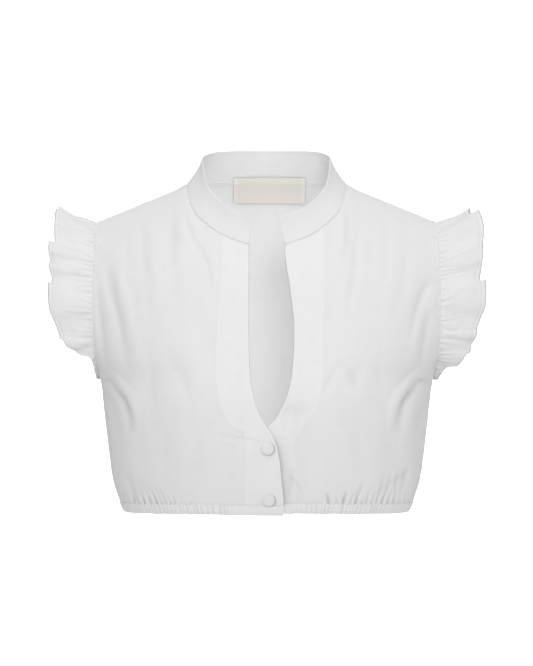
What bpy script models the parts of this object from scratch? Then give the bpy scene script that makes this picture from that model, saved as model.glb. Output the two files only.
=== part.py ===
"""Cropped blouse with a stand collar, a keyhole front, ruffled armholes and a gathered hem.

It keeps the hollow, filled-out form of a worn garment. X runs across the body, the front faces
-Y and Z is up. The origin is between the shoulders, level with the shoulder seams' neck ends.
Sizes and tables are in millimetres, and mesh_object scales the points to metres.
"""

import math

import bpy
import numpy as np

MM = 0.001
COLLECTION = "Blouse"

# Cloth and seams
CLOTH = 1.4
COLLAR_CLOTH = 1.8
FACING_CLOTH = 1.0
LABEL_CLOTH = 1.0
SEAM_GAP = 0.3

# Body levels
HEM_Z = -324.0
CASING_HEIGHT = 10.0
CASING_CLOTH = 2.0
CASING_BULGE = 0.7
UNDERARM_Z = -194.0
SHOULDER_TIP_Z = -35.0
BODY_FOOT_Z = HEM_Z + CASING_HEIGHT + SEAM_GAP

# The hem hangs lower towards the side seams, and at the end of the front that laps on top
HEM_DROOP_CENTRE, HEM_DROOP_SIDE, HEM_DROOP_POWER = 1.0, 4.2, 2.5
HEM_DROOP_LAP, HEM_DROOP_LAP_RUN, HEM_DROOP_LAP_START = 1.8, 120.0, 105.0
HEM_DROOP_TOP_Z, HEM_HALF_WIDTH = -230.0, 145.0

# The body form: height, half width, and depth to the front and to the back at the centre.
# Above the underarm the half width is that of the form that the armhole is cut from.
FORM = np.array([
    (-324, 144.5, 104, 84),
    (-313, 149.5, 109, 86),
    (-290, 157.0, 117, 89),
    (-250, 162.5, 125, 93),
    (-215, 166.5, 127, 96),
    (-194, 169.0, 125, 98),
    (-170, 183.0, 121, 100),
    (-150, 191.0, 117, 101),
    (-115, 197.0, 109, 101),
    (-60, 200.0, 93, 95),
    (0, 200.0, 78, 86),
    (45, 200.0, 70, 80),
], float)
LEVEL, HALF_WIDTH, FRONT_DEPTH, BACK_DEPTH = FORM.T
FRONT_SQUARENESS = 2.5
BACK_SQUARENESS = 2.4
BUST_FULLNESS = 4.0
BUST_X, BUST_Z, BUST_ACROSS, BUST_TALL = 72.0, -212.0, 42.0, 55.0

# The shoulder line: distance from the centre, height of the form's top in front and behind
SHOULDER = np.array([
    (0, 5.0, 42.0),
    (20, 4.5, 40.5),
    (41, 3.5, 34.0),
    (62, 3.0, 22.0),
    (75, 4.0, 10.0),
    (80, 4.5, 4.5),
    (95, -2.5, -2.5),
    (118, -12.2, -12.2),
    (173, -35.0, -35.0),
    (205, -48.0, -48.0),
], float)
SHOULDER_ROUND = 95.0
SHOULDER_POWER = 0.53
RIDGE_BACK, RIDGE_RUN = 8.0, 70.0
NECK_HALF_WIDTH = 80.0
SHOULDER_TIP_X = 173.0

# The armhole's distance from the centre, by height
ARMHOLE = np.array([(-194, 169.0), (-160, 172.5), (-100, 173.5), (-35, 173.0)], float)

# The opening edge of each front, by height. The wearer's right front laps over the left one.
OPENING = np.array([
    (-326, 17.0, -16.0),
    (-309, 17.0, -16.0),
    (-293, 15.2, -15.0),
    (-276, 13.6, -13.5),
    (-260, 10.8, -10.0),
    (-248, 6.4, -5.0),
    (-239, 0.6, 1.0),
    (-232, -3.6, 8.2),
    (-222, -8.2, 13.6),
    (-213, -11.2, 17.9),
    (-194, -15.0, 23.2),
    (-184, -16.0, 24.7),
    (-145, -17.0, 26.7),
    (-106, -17.1, 22.9),
    (-67, -17.1, 18.0),
    (-60, -17.1, 18.2),
], float)
NECK_END_Z = -60.0

# The front neckline from the collar's end up to the shoulder seam
FRONT_NECK = np.array([
    (18, -60.0),
    (41, -51.5),
    (60, -38.0),
    (71, -26.0),
    (77, -10.0),
    (80, 4.5),
], float)
BACK_NECK_Z = 9.0

# The lap at the closure: how far the top front stands out and the under front lies in
TOP_LIFT = 1.0
UNDER_DROP = 2.6
LAP_REACH = 26.0
LAP_FADE = 30.0
LAP_TOP_Z = -222.0
LAP_RISE = 14.0

# Soft folds: the two ends across and up in the front view, depth and half width.
# Distances across are from the centre towards the panel's own side.
FRONT_FOLDS_RIGHT = [
    (160, -78, 137, -168, 2.6, 7.0),
    (169, -102, 155, -182, 2.4, 5.5),
    (163, -196, 139, -240, 5.0, 7.5),
    (116, -28, 112, -95, 1.6, 6.0),
    (82, -20, 86, -96, 1.4, 6.0),
]
FRONT_FOLDS_LEFT = [
    (160, -86, 146, -152, 2.6, 7.0),
    (166, -118, 158, -172, 2.2, 5.5),
    (161, -197, 136, -236, 5.0, 7.5),
    (86, -24, 84, -140, 1.8, 7.0),
    (60, -50, 70, -120, 1.2, 6.0),
]
BACK_FOLDS = [
    (158, -90, 140, -176, 2.4, 8.0),
    (160, -200, 134, -246, 4.0, 9.0),
    (96, -40, 84, -150, 1.6, 9.0),
    (40, -210, 22, -292, 1.4, 10.0),
]

# How soft a fold's two ends are: 0 fades them out, 0.5 leaves them at full depth
FOLD_END = 0.12

# Hem gathers
GATHER_DEPTH = 2.0
GATHER_UNEVENNESS = 0.28
GATHER_RUN_UNEVENNESS = 0.35
GATHER_RUN = 15.0
GATHER_FADE = 40.0
PLACKET_FLAT = 34.0
HALF_GATHERS = 16
GATHER_STEPS = 4
LEVEL_FOOT = 0.05

# The body's rows as shares of the way from the casing up to the shoulder: first those with the
# gathers, then the rest. The underarm and the collar's end each lie on a row.
GATHER_ROWS = (0.0, 0.019, 0.05)
UNDERARM_SHARE, NECK_END_SHARE = 0.375, 0.72
BODY_ROWS = (
    0.085, 0.115, 0.145, 0.170, 0.190, 0.210, 0.235, 0.265, 0.300, 0.3375, UNDERARM_SHARE,
    0.42, 0.47, 0.52, 0.57, 0.62, 0.67, NECK_END_SHARE, 0.77, 0.82, 0.87, 0.92, 0.965, 1.0,
)
NECK_COLUMN_SHARE = 0.5
SEAM_FADE = 0.05
CASING_RIB = 1.1
RIB_FADE = 14.0

# Collar
COLLAR_FRONT_HEIGHT, COLLAR_BACK_HEIGHT, COLLAR_BACK_REACH = 26.5, 33.0, 45.0
COLLAR_FRONT_LEAN, COLLAR_SIDE_LEAN, COLLAR_BACK_LEAN = 5.0, 16.0, 8.0
COLLAR_LEAN_AIM = (1.0, 0.75, 0.0)
COLLAR_SIDE_POWER = 1.5
COLLAR_END_PULL_RIGHT, COLLAR_END_PULL_LEFT, COLLAR_END_RUN = 2.0, 4.5, 0.08
COLLAR_HOLLOW = 2.0
COLLAR_STEPS, COLLAR_ROWS = 52, 3

# Facings behind the opening edges, as wide as that many of the front's columns
FACING_COLUMNS = 3
FACING_TOP_SHARE = 0.77

# Ruffles, from the underarm up the front, over the shoulder and down the back. For each flute:
# its share of the armhole, how far it stands out, how much it leans and its extra width.
RUFFLE_RIGHT = np.array([
    (0.050, 2.0, 0.10, 0.0),
    (0.050, 2.5, 0.12, 0.0),
    (0.040, 3.5, 0.16, 1.0),
    (0.045, 6.0, 0.26, 3.0),
    (0.125, 9.5, 0.26, 7.0),
    (0.035, 6.0, 0.30, 3.0),
    (0.055, 7.5, 0.26, 5.0),
    (0.105, 8.0, 0.20, 4.0),
    (0.110, 9.0, 0.26, 5.0),
    (0.100, 9.0, 0.26, 5.0),
    (0.100, 9.0, 0.26, 5.0),
    (0.085, 7.0, 0.24, 4.0),
    (0.050, 3.5, 0.16, 1.0),
    (0.050, 2.0, 0.10, 0.0),
], float)
RUFFLE_LEFT = np.array([
    (0.040, 2.0, 0.10, 0.0),
    (0.035, 2.5, 0.14, 0.0),
    (0.090, 6.0, 0.22, 3.0),
    (0.035, 5.5, 0.26, 3.0),
    (0.110, 9.5, 0.28, 8.0),
    (0.080, 8.5, 0.26, 4.0),
    (0.110, 9.0, 0.20, 6.0),
    (0.110, 9.0, 0.26, 5.0),
    (0.100, 9.0, 0.26, 5.0),
    (0.100, 9.0, 0.26, 5.0),
    (0.090, 7.0, 0.24, 4.0),
    (0.050, 3.5, 0.16, 1.0),
    (0.050, 2.0, 0.10, 0.0),
], float)
# The width between the flutes, by height: of the right ruffle and of the left one
RUFFLE_WIDTH = np.array([
    (-194, 3.5, 5.0),
    (-182, 3.5, 9.0),
    (-174, 3.5, 20.5),
    (-166, 16.0, 27.5),
    (-158, 25.5, 31.0),
    (-148, 33.5, 34.5),
    (-130, 37.5, 38.5),
    (-110, 38.5, 38.5),
    (-85, 42.0, 40.0),
    (-60, 39.0, 44.0),
    (-35, 37.5, 34.0),
], float)
RUFFLE_FLARE = 0.30
RUFFLE_GAP = 0.5
CREST_POWER, CREST_SHORTENING = 1.2, 0.7
LEAN_POWER = 1.4
FLUTE_STEPS = 7
RUFFLE_ROWS = (0.0, 0.16, 0.42, 0.70, 1.0)
ROOT_GATHER = 1.0
ROOT_GATHERS_PER_FLUTE = 2
ROOT_GATHER_REACH, ROOT_GATHER_POWER = 0.6, 0.8

# Covered buttons: place on the closure, size
BUTTON_RADIUS = 6.8
BUTTON_FOOT_RADIUS = 5.85
BUTTON_DOME = 3.2
BUTTON_EDGE = 1.4
BUTTON_SEAT = 0.4
BUTTONS = {"button_upper": (1.5, -259.3), "button_lower": (2.4, -308.0)}
BUTTON_SEGMENTS = 20

# Neck label on the inside of the back
LABEL_CENTRE_X, LABEL_WIDTH, LABEL_HEIGHT = 3.0, 70.0, 22.0
LABEL_STEPS, LABEL_ROWS = 8, 3
LABEL_LIFT = 1.2
LABEL_TOP_GAP, LABEL_TOP_BOW = 1.0, 10.0

WHITE_COTTON = ("white_cotton", (0.80, 0.80, 0.81, 1.0), 0.85)
CREAM_LABEL = ("cream_label", (0.72, 0.68, 0.60, 1.0), 0.6)

FRONT, BACK = -1, 1
EPS = 1e-4
RUFFLE_STEP = 0.02
RUFFLE_TANGENT_SHARE = 0.004
ARMHOLE_POINTS, ARMHOLE_ROUNDING, ROUNDING_PASSES = 240, 0.25, 6


def pchip(at, xs, ys):
    """Smooth interpolation through a table without overshoot."""
    at = np.asarray(at, float)
    step, rise = np.diff(xs), np.diff(ys)
    slope = rise / step
    tangent = np.zeros(len(xs))
    same = slope[:-1] * slope[1:] > 0
    weight_a, weight_b = 2 * step[1:] + step[:-1], step[1:] + 2 * step[:-1]
    left, right = np.where(same, slope[:-1], 1), np.where(same, slope[1:], 1)
    mean = (weight_a + weight_b) / (weight_a / left + weight_b / right)
    tangent[1:-1] = np.where(same, mean, 0)
    tangent[0], tangent[-1] = slope[0], slope[-1]
    at = np.clip(at, xs[0], xs[-1])
    i = np.clip(np.searchsorted(xs, at, side="right") - 1, 0, len(step) - 1)
    t = (at - xs[i]) / step[i]
    start = (1 + 2 * t) * (1 - t) ** 2 * ys[i] + t * (1 - t) ** 2 * step[i] * tangent[i]
    end = t * t * (3 - 2 * t) * ys[i + 1] + t * t * (t - 1) * step[i] * tangent[i + 1]
    return start + end


def smooth(t):
    """0 to 1 with level ends."""
    t = np.clip(t, 0, 1)
    return t * t * (3 - 2 * t)


def unit(vectors):
    return vectors / np.maximum(np.linalg.norm(vectors, axis=-1, keepdims=True), 1e-12)


def along(points, share):
    """Points at those shares of a polyline's length."""
    length = np.concatenate([[0], np.cumsum(np.linalg.norm(np.diff(points, axis=0), axis=1))])
    at = np.asarray(share) * length[-1]
    return np.stack([np.interp(at, length, points[:, k]) for k in range(points.shape[1])], axis=-1)


def shoulder_z(x, side):
    """Height of the form's top edge."""
    return pchip(np.abs(x), SHOULDER[:, 0], SHOULDER[:, 1 if side == FRONT else 2])


def form_y(x, z, side):
    """The body form: a squared oval at each height that closes over at the shoulder line."""
    width = pchip(z, LEVEL, HALF_WIDTH)
    depth = pchip(z, LEVEL, FRONT_DEPTH if side == FRONT else BACK_DEPTH)
    if side == FRONT:
        bust = np.exp(-((np.abs(x) - BUST_X) / BUST_ACROSS) ** 2 - ((z - BUST_Z) / BUST_TALL) ** 2)
        depth = depth + BUST_FULLNESS * bust
    squareness = FRONT_SQUARENESS if side == FRONT else BACK_SQUARENESS
    across = np.sqrt(np.clip(1 - np.clip(np.abs(x) / width, 0, 1) ** squareness, 0, 1))
    drop = np.clip((shoulder_z(x, side) - z) / SHOULDER_ROUND, 0, 1)
    over = np.sin(drop * math.pi / 2) ** SHOULDER_POWER
    ridge = RIDGE_BACK * (1 - smooth((np.abs(x) - NECK_HALF_WIDTH) / RIDGE_RUN))
    return ridge + side * (depth - side * ridge) * across * over


def angle_of(x, z):
    return np.arcsin(np.clip(x / pchip(z, LEVEL, HALF_WIDTH), -1, 1))


def armhole_points(side):
    """The armhole of the body's +X side, from the underarm up to the shoulder tip."""
    turn = np.linspace(0, math.pi, 120)
    z = (UNDERARM_Z + SHOULDER_TIP_Z) / 2 - (SHOULDER_TIP_Z - UNDERARM_Z) / 2 * np.cos(turn)
    x = pchip(z, ARMHOLE[:, 0], ARMHOLE[:, 1])
    return np.stack([x, form_y(x, z, side), z], axis=1)


def front_neck_points():
    """The front neckline of the +X side, from the collar's end to the shoulder seam."""
    share = np.linspace(0, 1, len(FRONT_NECK))
    at = np.linspace(0, 1, 60)
    x, z = (pchip(at, share, FRONT_NECK[:, k]) for k in (0, 1))
    return np.stack([x, form_y(x, z, FRONT), z], axis=1)


def back_neck_points():
    """The back neckline from the centre to the +X shoulder seam."""
    x = NECK_HALF_WIDTH * np.sin(np.linspace(0, math.pi / 2, 60))
    foot = shoulder_z(NECK_HALF_WIDTH, BACK)
    z = BACK_NECK_Z + (foot - BACK_NECK_Z) * (x / NECK_HALF_WIDTH) ** 3
    return np.stack([x, form_y(x, z, BACK), z], axis=1)


def back_centre_points():
    z = np.linspace(BODY_FOOT_Z, BACK_NECK_Z, 80)
    return np.stack([0 * z, form_y(0 * z, z, BACK), z], axis=1)


def opening_x(z, hand):
    """Where a front's opening edge is at that height, mirrored to the +X side."""
    return hand * pchip(z, OPENING[:, 0], OPENING[:, 1 if hand < 0 else 2])


def opening_points(hand):
    """The opening edge of a front, mirrored to the +X side."""
    z = np.linspace(BODY_FOOT_Z, NECK_END_Z, 160)
    x = opening_x(z, hand)
    return np.stack([x, form_y(x, z, FRONT), z], axis=1)


def front_neckline_of(hand):
    """The front neckline, joined on to that front's own opening edge."""
    neck = front_neck_points()
    shift = opening_points(hand)[-1, 0] - neck[0, 0]
    neck[:, 0] += shift * (1 - smooth(np.linspace(0, 2, len(neck))))
    neck[:, 1] = form_y(neck[:, 0], neck[:, 2], FRONT)
    return neck


def side_points():
    z = np.linspace(BODY_FOOT_Z, UNDERARM_Z, 40)
    return np.stack([pchip(z, LEVEL, HALF_WIDTH), 0 * z, z], axis=1)


def shoulder_points(side):
    x = np.linspace(NECK_HALF_WIDTH, SHOULDER_TIP_X, 60)
    z = shoulder_z(x, side)
    return np.stack([x, form_y(x, z, side), z], axis=1)


def along_two(first, second, knot, share):
    """Points along two polylines that meet at the knot's share."""
    share = np.asarray(share, float)
    near = along(first, np.clip(share / knot, 0, 1))
    far = along(second, np.clip((share - knot) / (1 - knot), 0, 1))
    return np.where((share <= knot)[..., None], near, far)


def inner_edge(v, side, hand):
    """The panel's centre edge: the opening and neckline in front, the centre line behind."""
    if side == BACK:
        return along(back_centre_points(), v)
    return along_two(opening_points(hand), front_neckline_of(hand), NECK_END_SHARE, v)


def outer_edge(v, side):
    """The panel's side seam and armhole."""
    return along_two(side_points(), armhole_points(side), UNDERARM_SHARE, v)


def top_edge(u, side):
    """The shoulder seam, with the back neckline before it on the back."""
    if side == FRONT:
        return along(shoulder_points(side), u)
    return along_two(back_neck_points(), shoulder_points(side), NECK_COLUMN_SHARE, u)


def panel_base(u, v, side, hand):
    """A panel between its four edges, mirrored to the +X side: u runs outwards and v upwards."""
    def flat(points):
        return np.stack([angle_of(points[..., 0], points[..., 2]), points[..., 2]], axis=-1)

    left, right, upper = flat(inner_edge(v, side, hand)), flat(outer_edge(v, side)), flat(top_edge(u, side))
    ends = np.array([0.0, 1.0])
    inner, outer = flat(inner_edge(ends, side, hand)), flat(outer_edge(ends, side))
    lower = np.stack([inner[0, 0] * (1 - u) + outer[0, 0] * u, np.full_like(u, BODY_FOOT_Z)], axis=-1)
    corners = [inner[0], outer[0], inner[1], outer[1]]
    u, v = u[..., None], v[..., None]
    bilinear = (
        (1 - u) * (1 - v) * corners[0] + u * (1 - v) * corners[1]
        + (1 - u) * v * corners[2] + u * v * corners[3]
    )
    spot = (1 - u) * left + u * right + (1 - v) * lower + v * upper - bilinear
    angle, z = spot[..., 0], spot[..., 1]
    x = pchip(z, LEVEL, HALF_WIDTH) * np.sin(angle)
    return np.stack([x, form_y(x, z, side), z], axis=-1)


def panel_normal(u, v, side, hand):
    """Outward unit normals. On a seam that front and back share they lie in its plane."""
    low_u, high_u = np.clip(u - EPS, 0, 1), np.clip(u + EPS, 0, 1)
    low_v, high_v = np.clip(v - EPS, 0, 1), np.clip(v + EPS, 0, 1)
    across = panel_base(high_u, v, side, hand) - panel_base(low_u, v, side, hand)
    upward = panel_base(u, high_v, side, hand) - panel_base(u, low_v, side, hand)
    normal = unit(np.cross(across, upward) * (1 if side == FRONT else -1))
    point = panel_base(u, v, side, hand)
    on_side = (u > 1 - EPS) & (point[..., 2] < UNDERARM_Z + 1)
    on_shoulder = (v > 1 - EPS) & (point[..., 0] > NECK_HALF_WIDTH - 1)
    normal[on_side | on_shoulder, 1] = 0
    normal[..., 2] *= smooth(v / LEVEL_FOOT)
    return unit(normal)


def fold_depth(x, z, folds):
    """How far the soft folds press the cloth in."""
    total = np.zeros_like(x)
    for x_top, z_top, x_foot, z_foot, depth, width in folds:
        run = np.array([x_foot - x_top, z_foot - z_top])
        share = ((x - x_top) * run[0] + (z - z_top) * run[1]) / (run @ run)
        near = np.clip(share, 0, 1)
        off = np.hypot(x - x_top - near * run[0], z - z_top - near * run[1])
        ends = np.sin(math.pi * (FOLD_END + (1 - 2 * FOLD_END) * near))
        total += depth * np.exp(-((off / width) ** 2)) * ends
    return total


def gather_wave(u, count):
    """Bumps of uneven strength across a gathered edge, and how far up each one runs."""
    place = u * count
    which = np.floor(place)
    strength = 1 - GATHER_UNEVENNESS * (1 - np.sin(which * 2.4 + 0.7))
    run = GATHER_RUN * (1 + GATHER_RUN_UNEVENNESS * np.sin(which * 1.7 + 1.0))
    return strength * (1 - np.cos(2 * math.pi * place)) / 2, run


def hem_gathers(x, z, u, flat_to):
    """Gathers that start at the casing and die out up the cloth, weakest towards the closure."""
    wave, run = gather_wave(u, HALF_GATHERS)
    spread = smooth((x - flat_to) / GATHER_FADE)
    return GATHER_DEPTH * wave * spread * np.exp(-np.maximum(z - BODY_FOOT_Z, 0) / run)


def lap_offset(x, z, hand):
    """The top front stands out over the under front near the closure."""
    near = 1 - smooth((np.abs(x) - LAP_REACH) / LAP_FADE)
    low = smooth((LAP_TOP_Z - z) / LAP_RISE + 0.5)
    return near * low * (TOP_LIFT if hand < 0 else -UNDER_DROP)


def panel_surface(u, v, side, hand):
    """Points and normals of a panel's outer face, on the +X side before it is mirrored."""
    point, normal = panel_base(u, v, side, hand), panel_normal(u, v, side, hand)
    x, z = point[..., 0], point[..., 2]
    still = smooth((1 - u) / SEAM_FADE) * smooth((1 - v) / SEAM_FADE) * smooth(v / SEAM_FADE)
    if side == FRONT:
        folds = FRONT_FOLDS_RIGHT if hand < 0 else FRONT_FOLDS_LEFT
        still = still * smooth(u / SEAM_FADE)
        flat_to = opening_x(HEM_Z, hand) + PLACKET_FLAT
        lap = lap_offset(x, z, hand)
    else:
        folds, flat_to, lap = BACK_FOLDS, -GATHER_FADE, 0.0
    lift = lap - still * fold_depth(x, z, folds)
    lift = lift + hem_gathers(x, z, u, flat_to) * smooth((1 - u) / SEAM_FADE)
    return point + normal * lift[..., None], normal


def hem_droop(points, side, hand):
    """How far the cloth hangs lower near the hem, from points that are mirrored to the +X side."""
    x, z = points[..., 0], points[..., 2]
    droop = HEM_DROOP_CENTRE + HEM_DROOP_SIDE * np.abs(x / HEM_HALF_WIDTH) ** HEM_DROOP_POWER
    if side == FRONT and hand < 0:
        droop = droop + HEM_DROOP_LAP * smooth((HEM_DROOP_LAP_START - x) / HEM_DROOP_LAP_RUN)
    return droop * smooth((HEM_DROOP_TOP_Z - z) / (HEM_DROOP_TOP_Z - HEM_Z))


def to_side(points, side, hand):
    """Mirrors points from the +X side to a panel's own side, half a seam gap off the seam plane."""
    moved = points.copy()
    moved[..., 0] *= hand
    moved[..., 1] += side * SEAM_GAP / 2
    moved[..., 2] -= hem_droop(points, side, hand)
    return moved


def zipper(row_a, row_b, start_a, start_b, closed):
    """Triangles between two rows of evenly spread points, of which one may have more points."""
    faces, i, j = [], 0, 0
    count_a, count_b = (row_a, row_b) if closed else (row_a - 1, row_b - 1)
    while i < count_a or j < count_b:
        a, b = start_a + i % row_a, start_b + j % row_b
        if j >= count_b or (i < count_a and (i + 1) / count_a <= (j + 1) / count_b + 1e-9):
            faces.append((a, start_a + (i + 1) % row_a, b))
            i += 1
        else:
            faces.append((a, start_b + (j + 1) % row_b, b))
            j += 1
    return faces


def wall_mesh(outer, inner, closed=False):
    """One closed solid between rows of outer points and rows of inner points, from foot to top."""
    points = np.concatenate(list(outer) + list(inner))
    sizes = [len(row) for row in list(outer) + list(inner)]
    starts = np.concatenate([[0], np.cumsum(sizes)]).astype(int)
    faces, rows = [], len(outer)
    for k in range(rows - 1):
        faces += zipper(sizes[k], sizes[k + 1], starts[k], starts[k + 1], closed)
    last = len(sizes) - 1
    for k in range(rows, last):
        faces += [f[::-1] for f in zipper(sizes[k], sizes[k + 1], starts[k], starts[k + 1], closed)]
    faces += [f[::-1] for f in zipper(sizes[0], sizes[rows], starts[0], starts[rows], closed)]
    faces += zipper(sizes[rows - 1], sizes[last], starts[rows - 1], starts[last], closed)
    if not closed:
        for end in (0, -1):
            rim_out = [starts[k] + (0 if end == 0 else sizes[k] - 1) for k in range(rows)]
            rim_in = [starts[k] + (0 if end == 0 else sizes[k] - 1) for k in range(rows, last + 1)]
            faces += rim_faces(rim_out, rim_in, end == 0)
    return points, faces


def rim_faces(rim_out, rim_in, first):
    """Closes a wall's side between its outer and inner edge points."""
    faces, i, j = [], 0, 0
    while i < len(rim_out) - 1 or j < len(rim_in) - 1:
        step_out = j >= len(rim_in) - 1 or (
            i < len(rim_out) - 1 and (i + 1) / (len(rim_out) - 1) <= (j + 1) / (len(rim_in) - 1) + 1e-9
        )
        if step_out:
            face = (rim_out[i], rim_in[j], rim_out[i + 1])
            i += 1
        else:
            face = (rim_out[i], rim_in[j], rim_in[j + 1])
            j += 1
        faces.append(face[::-1] if first else face)
    return faces


def material(name, colour, roughness):
    made = bpy.data.materials.new(name)
    made.use_nodes = True
    shader = made.node_tree.nodes["Principled BSDF"]
    shader.inputs["Base Color"].default_value = colour
    shader.inputs["Roughness"].default_value = roughness
    shader.inputs["Metallic"].default_value = 0.0
    return made


def mesh_object(name, points, faces, finish):
    """One named object from points in millimetres, with its normals turned outwards."""
    mesh = bpy.data.meshes.new(name)
    mesh.from_pydata((np.asarray(points) * MM).tolist(), [], [tuple(int(i) for i in f) for f in faces])
    mesh.materials.append(material(name + "_" + finish[0], finish[1], finish[2]))
    corners = np.asarray(points)[np.array(faces)]
    volume = np.einsum("ij,ij->i", corners[:, 0], np.cross(corners[:, 1], corners[:, 2])).sum()
    if volume < 0:
        mesh.flip_normals()
    mesh.shade_smooth()
    mesh.set_sharp_from_angle(angle=math.radians(50))
    made = bpy.data.objects.new(name, mesh)
    bpy.data.collections[COLLECTION].objects.link(made)
    return made


def panel_rows():
    """The rows of a half panel, each with its number of steps across."""
    fine = [(v, HALF_GATHERS * GATHER_STEPS) for v in GATHER_ROWS]
    return fine + [(v, HALF_GATHERS) for v in BODY_ROWS]


def along_length(points):
    return np.linalg.norm(np.diff(points, axis=0), axis=1).sum()


def front_panel(name, hand):
    outer, inner = [], []
    for v, steps in panel_rows():
        u = np.linspace(0, 1, steps + 1)
        point, normal = panel_surface(u, np.full_like(u, v), FRONT, hand)
        outer.append(to_side(point, FRONT, hand))
        inner.append(to_side(point - normal * CLOTH, FRONT, hand))
    return mesh_object(name, *wall_mesh(outer, inner), WHITE_COTTON)


def back_panel(name):
    """Both halves of the back in one piece, joined at the centre line."""
    outer, inner = [], []
    for v, steps in panel_rows():
        u = np.linspace(0, 1, steps + 1)
        point, normal = panel_surface(u, np.full_like(u, v), BACK, 1)
        normal[0, 0] = 0
        normal = unit(normal)
        for rows, half in ((outer, point), (inner, point - normal * CLOTH)):
            left = to_side(half[:0:-1], BACK, -1)
            rows.append(np.concatenate([left, to_side(half, BACK, 1)]))
    return mesh_object(name, *wall_mesh(outer, inner), WHITE_COTTON)


def casing_line(side, hand, steps):
    """The form's line along a panel's foot for its hem casing, with its outward directions and lap."""
    u = np.linspace(0, 1, steps + 1)
    foot = np.zeros_like(u)
    base, normal = panel_base(u, foot, side, hand), panel_normal(u, foot, side, hand)
    lap = lap_offset(base[:, 0], base[:, 2], hand) if side == FRONT else foot
    return base, normal, lap, u


def casing_rows(side, hand):
    """The casing's outer rows with their ribs, and its plain inner rows."""
    top_z = HEM_Z + CASING_HEIGHT
    base, normal, lap, u = casing_line(side, hand, HALF_GATHERS * GATHER_STEPS)
    ribs, _ = gather_wave(u, HALF_GATHERS)
    flat_to = base[0, 0] + PLACKET_FLAT if side == FRONT else -RIB_FADE
    ribbed = smooth((base[:, 0] - flat_to) / RIB_FADE) * smooth((1 - u) / SEAM_FADE)
    outer, inner = [], []
    for z, bulge in ((HEM_Z, 0.0), ((HEM_Z + top_z) / 2, CASING_BULGE), (top_z, 0.0)):
        lift = lap + bulge + CASING_RIB * ribs * ribbed
        outer.append(level_row(base, normal, lift, z, side, hand))
    base, normal, lap, _ = casing_line(side, hand, HALF_GATHERS)
    for z in (HEM_Z, top_z):
        inner.append(level_row(base, normal, lap - CASING_CLOTH, z, side, hand))
    return outer, inner


def level_row(base, normal, lift, z, side, hand):
    """A row of the casing at one height, on the form's own outline there."""
    depths = FRONT_DEPTH if side == FRONT else BACK_DEPTH
    narrower = pchip(z, LEVEL, HALF_WIDTH) / pchip(BODY_FOOT_Z, LEVEL, HALF_WIDTH)
    shallower = pchip(z, LEVEL, depths) / pchip(BODY_FOOT_Z, LEVEL, depths)
    row = base * np.array([narrower, shallower, 1.0])
    row[:, 2] = z
    return to_side(row + normal * lift[:, None], side, hand)


def front_casing(name, hand):
    return mesh_object(name, *wall_mesh(*casing_rows(FRONT, hand)), WHITE_COTTON)


def back_casing(name):
    rows = []
    for half in casing_rows(BACK, 1):
        rows.append([np.concatenate([row[:0:-1] * np.array([-1, 1, 1]), row]) for row in half])
    return mesh_object(name, *wall_mesh(*rows), WHITE_COTTON)


def neckline():
    """The whole neckline from the right front's end, round the back, to the left front's end."""
    mirror = np.array([-1, 1, 1])
    right, left = (to_side(front_neckline_of(hand), FRONT, hand) for hand in (-1, 1))
    back = to_side(back_neck_points(), BACK, 1)
    return np.concatenate([right, back[::-1][1:] * mirror, back[1:], left[::-1][1:]])


def collar_surface(s, w):
    """The stand collar over the neckline: s runs round it and w up it. It leans in to the neck."""
    foot = along(neckline(), s)
    inward = -unit(foot * np.array(COLLAR_LEAN_AIM))
    sideways = np.abs(inward[..., 0]) ** COLLAR_SIDE_POWER
    end_lean = np.where(foot[..., 1] < 0, COLLAR_FRONT_LEAN, COLLAR_BACK_LEAN)
    lean = end_lean * (1 - sideways) + COLLAR_SIDE_LEAN * sideways
    taller = COLLAR_BACK_HEIGHT - COLLAR_FRONT_HEIGHT
    height = COLLAR_FRONT_HEIGHT + taller * smooth(foot[..., 1] / COLLAR_BACK_REACH)
    pull = COLLAR_END_PULL_RIGHT * (1 - smooth(s / COLLAR_END_RUN))
    pull = pull - COLLAR_END_PULL_LEFT * (1 - smooth((1 - s) / COLLAR_END_RUN))
    reach = lean * w + COLLAR_HOLLOW * np.sin(math.pi * w)
    rise = SEAM_GAP + height * w
    place = foot + inward * reach[..., None] + np.array([0, 0, 1.0]) * rise[..., None]
    return place + np.array([1.0, 0, 0]) * (pull * w)[..., None]


def collar_normal(s, w):
    around = collar_surface(np.clip(s + EPS, 0, 1), w) - collar_surface(np.clip(s - EPS, 0, 1), w)
    upward = collar_surface(s, np.clip(w + EPS, 0, 1)) - collar_surface(s, np.clip(w - EPS, 0, 1))
    return unit(np.cross(around, upward))


def collar(name):
    s = np.linspace(0, 1, COLLAR_STEPS + 1)
    outer, inner = [], []
    for w in np.linspace(0, 1, COLLAR_ROWS + 1):
        level = np.full_like(s, w)
        point, normal = collar_surface(s, level), collar_normal(s, level)
        outer.append(point)
        inner.append(point - normal * COLLAR_CLOTH)
    return mesh_object(name, *wall_mesh(outer, inner), WHITE_COTTON)


def facing(name, hand):
    """The band inside an opening edge: the front's own first columns, moved in."""
    outer, inner = [], []
    for v, steps in panel_rows():
        if v > FACING_TOP_SHARE:
            break
        columns = FACING_COLUMNS * steps // HALF_GATHERS + 1
        u = np.linspace(0, 1, steps + 1)[:columns]
        point, normal = panel_surface(u, np.full_like(u, v), FRONT, hand)
        near = CLOTH + SEAM_GAP
        outer.append(to_side(point - normal * near, FRONT, hand))
        inner.append(to_side(point - normal * (near + FACING_CLOTH), FRONT, hand))
    return mesh_object(name, *wall_mesh(outer, inner), WHITE_COTTON)


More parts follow.
